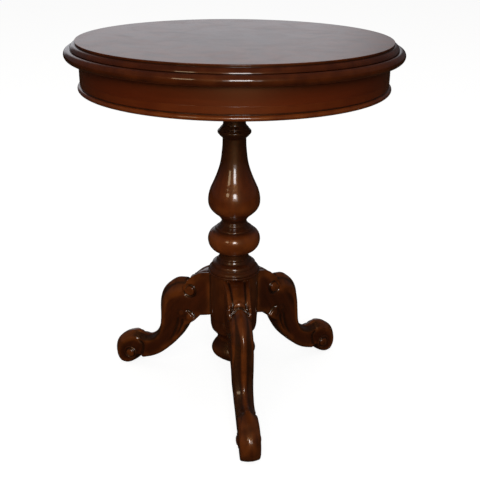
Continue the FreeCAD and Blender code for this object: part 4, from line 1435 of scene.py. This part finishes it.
@dataclass
class Studio:
    """Pale floor, soft light and the camera."""

    distance: float = 1.4253
    height: float = 0.9079
    pitch: float = 22.152
    roll: float = 0.441
    yaw: float = 0.473
    focal_pixels: float = 786.18
    frame_pixels: float = 480.0
    camera_side: float = -90.0
    front_leg_turn: float = 6.793
    floor_size: float = 60.0
    floor_glow: float = 0.84
    floor_tones: tuple[Colour, ...] = ((0.2,) * 3, (0.3,) * 3, (0.032, 0.019, 0.011))
    sky: Colour = (1.0, 0.99, 0.97)
    sky_level: float = 0.36
    backdrop: Colour = (1.0, 1.0, 1.0)
    dark_room: Colour = (0.035, 0.034, 0.036)
    pale_wall: Colour = (0.61, 0.62, 0.66)
    wall_depth: Span = (0.5, 0.8)
    wall_height: Span = (0.2, 0.6)
    wall_width: Span = (0.2, 0.42)
    wall_end: float = -0.97
    lamps: tuple[Lamp, ...] = (
        Lamp("key", 3.5, 20.5, 2.4, (0.52, 0.62), 0.27, (0.93, 0.96, 1.0)),
        Lamp("key_halo", 4.5, 15.0, 2.42, (0.95, 0.72), 0.08, (0.95, 0.97, 1.0)),
        Lamp("warm_strip", -31.0, 22.0, 2.4, (0.5, 0.5), 0.07, (1.0, 0.8, 0.52)),
        Lamp("front", -7.0, 30.0, 2.6, (1.4, 0.9), 0.22, (1.0, 0.97, 0.94), glossy=False),
        Lamp("overhead", 0.0, 88.0, 6.0, (4.0, 4.0), 0.3, (1.0, 1.0, 1.0), glossy=False))

    def camera(self) -> None:
        """Set the camera where the photograph was taken from."""
        pitch, roll, yaw = (math.radians(v) for v in (self.pitch, self.roll, self.yaw))
        forward = Vector((math.sin(yaw) * math.cos(pitch), math.cos(yaw) * math.cos(pitch),
                          -math.sin(pitch)))
        right = Vector((math.cos(yaw), -math.sin(yaw), 0.0))
        up = right.cross(forward)
        across = right * math.cos(roll) + up * math.sin(roll)
        upward = up * math.cos(roll) - right * math.sin(roll)
        pose = Matrix((across, upward, -forward)).transposed().to_4x4()
        pose.translation = Vector((0.0, -self.distance, self.height))
        data = bpy.data.cameras.new("camera")
        data.lens = self.focal_pixels / self.frame_pixels * data.sensor_width
        camera = bpy.data.objects.new("camera", data)
        bpy.context.scene.collection.objects.link(camera)
        camera.matrix_world = Matrix.Rotation(-math.radians(self.front_leg_turn), 4, "Z") @ pose
        bpy.context.scene.camera = camera

    def floor(self) -> None:
        """Lay the pale floor, which is white to the camera and darker in the gloss."""
        half = self.floor_size / 2
        mesh = bpy.data.meshes.new("floor")
        mesh.from_pydata([(-half, -half, 0), (half, -half, 0), (half, half, 0), (-half, half, 0)],
                         [], [(0, 1, 2, 3)])
        floor = bpy.data.objects.new("floor", mesh)
        bpy.context.scene.collection.objects.link(floor)
        material, graph, shader = new_material("pale_floor")
        graph.tree.nodes.remove(shader)
        path = graph.node("LightPath").outputs
        plain, lit, dark = (graph.node("BsdfDiffuse", {"Color": opaque(tone)})
                            for tone in self.floor_tones)
        glow = graph.node("Emission", {"Strength": self.floor_glow})
        bright = graph.node("AddShader", {0: lit.outputs[0], 1: glow.outputs[0]})
        seen = graph.switch(path["Is Camera Ray"],
                            graph.switch(path["Is Glossy Ray"], plain, dark), bright)
        graph.feed(graph.tree.nodes["Material Output"], {"Surface": seen.outputs[0]})
        mesh.materials.append(material)

    def world(self) -> None:
        """Soft even light, with a white backdrop and a pale far wall in the gloss."""
        world = bpy.data.worlds.new("studio")
        world.use_nodes = True
        bpy.context.scene.world = world
        graph = Graph(world.node_tree)
        graph.tree.nodes.clear()
        path = graph.node("LightPath").outputs
        place = graph.node("TexCoord").outputs["Generated"]
        parts = graph.node("SeparateXYZ", {0: place}).outputs
        behind = graph.spread(parts["Y"], *self.wall_depth)
        low = graph.calc("SUBTRACT", 1.0, graph.spread(parts["Z"], *self.wall_height))
        aside = graph.spread(graph.calc("ABSOLUTE", parts["X"]), *self.wall_width)
        wall = graph.times(graph.times(behind, low), graph.plus(aside, self.wall_end, 1.0))
        room = graph.mix(wall, opaque(self.dark_room), opaque(self.pale_wall))
        soft, gloss, white = (
            graph.node("Background", {"Color": colour, "Strength": level})
            for colour, level in ((opaque(self.sky), self.sky_level), (room, 1.0),
                                  (opaque(self.backdrop), 1.0)))
        clear = graph.calc("MAXIMUM", path["Is Camera Ray"], path["Is Transmission Ray"])
        seen = graph.switch(clear, graph.switch(path["Is Glossy Ray"], soft, gloss), white)
        graph.node("OutputWorld", {"Surface": seen.outputs[0]})

    def build(self) -> None:
        """Set up the whole studio."""
        bpy.context.scene.view_settings.view_transform = "Standard"
        self.camera()
        self.floor()
        self.world()
        for lamp in self.lamps:
            lamp.hang(self.camera_side - self.front_leg_turn)
        LOG.info("studio ready")


def main() -> None:
    """Build and dress the table, one sub-assembly after the other."""
    logging.basicConfig(level=logging.INFO, format="%(name)s %(message)s")
    Studio().build()
    kit = ShaderKit()
    veneer = Lacquer("top_veneer_lacquer", (0.062, 0.02, 0.009), (0.03, 0.01, 0.005),
                     roughness=0.1, specular=0.5, glow=(1.0, 1.0, 1.0), coat=0.0,
                     cloud=0.08, bump=0.04).material(kit)
    sheet = Lacquer("frieze_lacquer", (0.092, 0.013, 0.0024), (0.06, 0.0078, 0.0014),
                    ribbon=0.25, cloud=0.05, bump=0.02).material(kit)
    moulding = Lacquer("moulding_lacquer", (0.046, 0.007, 0.0016), (0.021, 0.0031, 0.0008),
                       ribbon=0.3, wear_and_light=0.15, specular=0.3, bump=0.04).material(kit)
    column = Lacquer("column_lacquer", (0.104, 0.018, 0.0028), (0.042, 0.007, 0.0013),
                     ribbon=0.4, cloud=0.12, bump=0.01).material(kit)
    turned = Lacquer("drum_lacquer", (0.05, 0.0094, 0.0018), (0.021, 0.0039, 0.001),
                     ribbon=0.3, wear_and_light=0.2, bump=0.04).material(kit)
    # a darker copy of the drum's turned wood: painted shade, as the drop hangs in the shade of the
    # legs; its duller polish is its own
    dull = Lacquer("drop_lacquer_shaded", (0.034, 0.006, 0.0013), (0.015, 0.0028, 0.0008),
                   ribbon=0.3, wear_and_light=0.2, roughness=0.42, coat=0.3).material(kit)
    carved = Lacquer("carved_lacquer", (0.06, 0.0104, 0.002), (0.019, 0.0034, 0.0009),
                     ribbon=0.5, bump=0.04).material(kit)
    lengthwise = (0.0, math.pi / 2, 0.0)
    bare = {
        Slot.CORE_BOARD: BareWood("core_board_wood", (0.32, 0.17, 0.08), (0.2, 0.1, 0.045),
                                  lengthwise).material(kit),
        Slot.PLAIN_WOOD: BareWood("plain_wood_sawn", (0.36, 0.2, 0.095), (0.22, 0.11, 0.05),
                                  lengthwise).material(kit),
        Slot.DOWEL_WOOD: BareWood("dowel_wood_turned", (0.5, 0.32, 0.16),
                                  (0.36, 0.21, 0.1)).material(kit),
        Slot.SCREW_METAL: Zinc().material()}
    RoundTop().build(veneer, moulding)
    Frieze().build(sheet)
    Column().build(column)
    Finial().build(dull)
    Understructure().dress(bare)
    Drum().build(turned)
    ScrollLeg().build(carved)


if __name__ == "__main__":
    main()
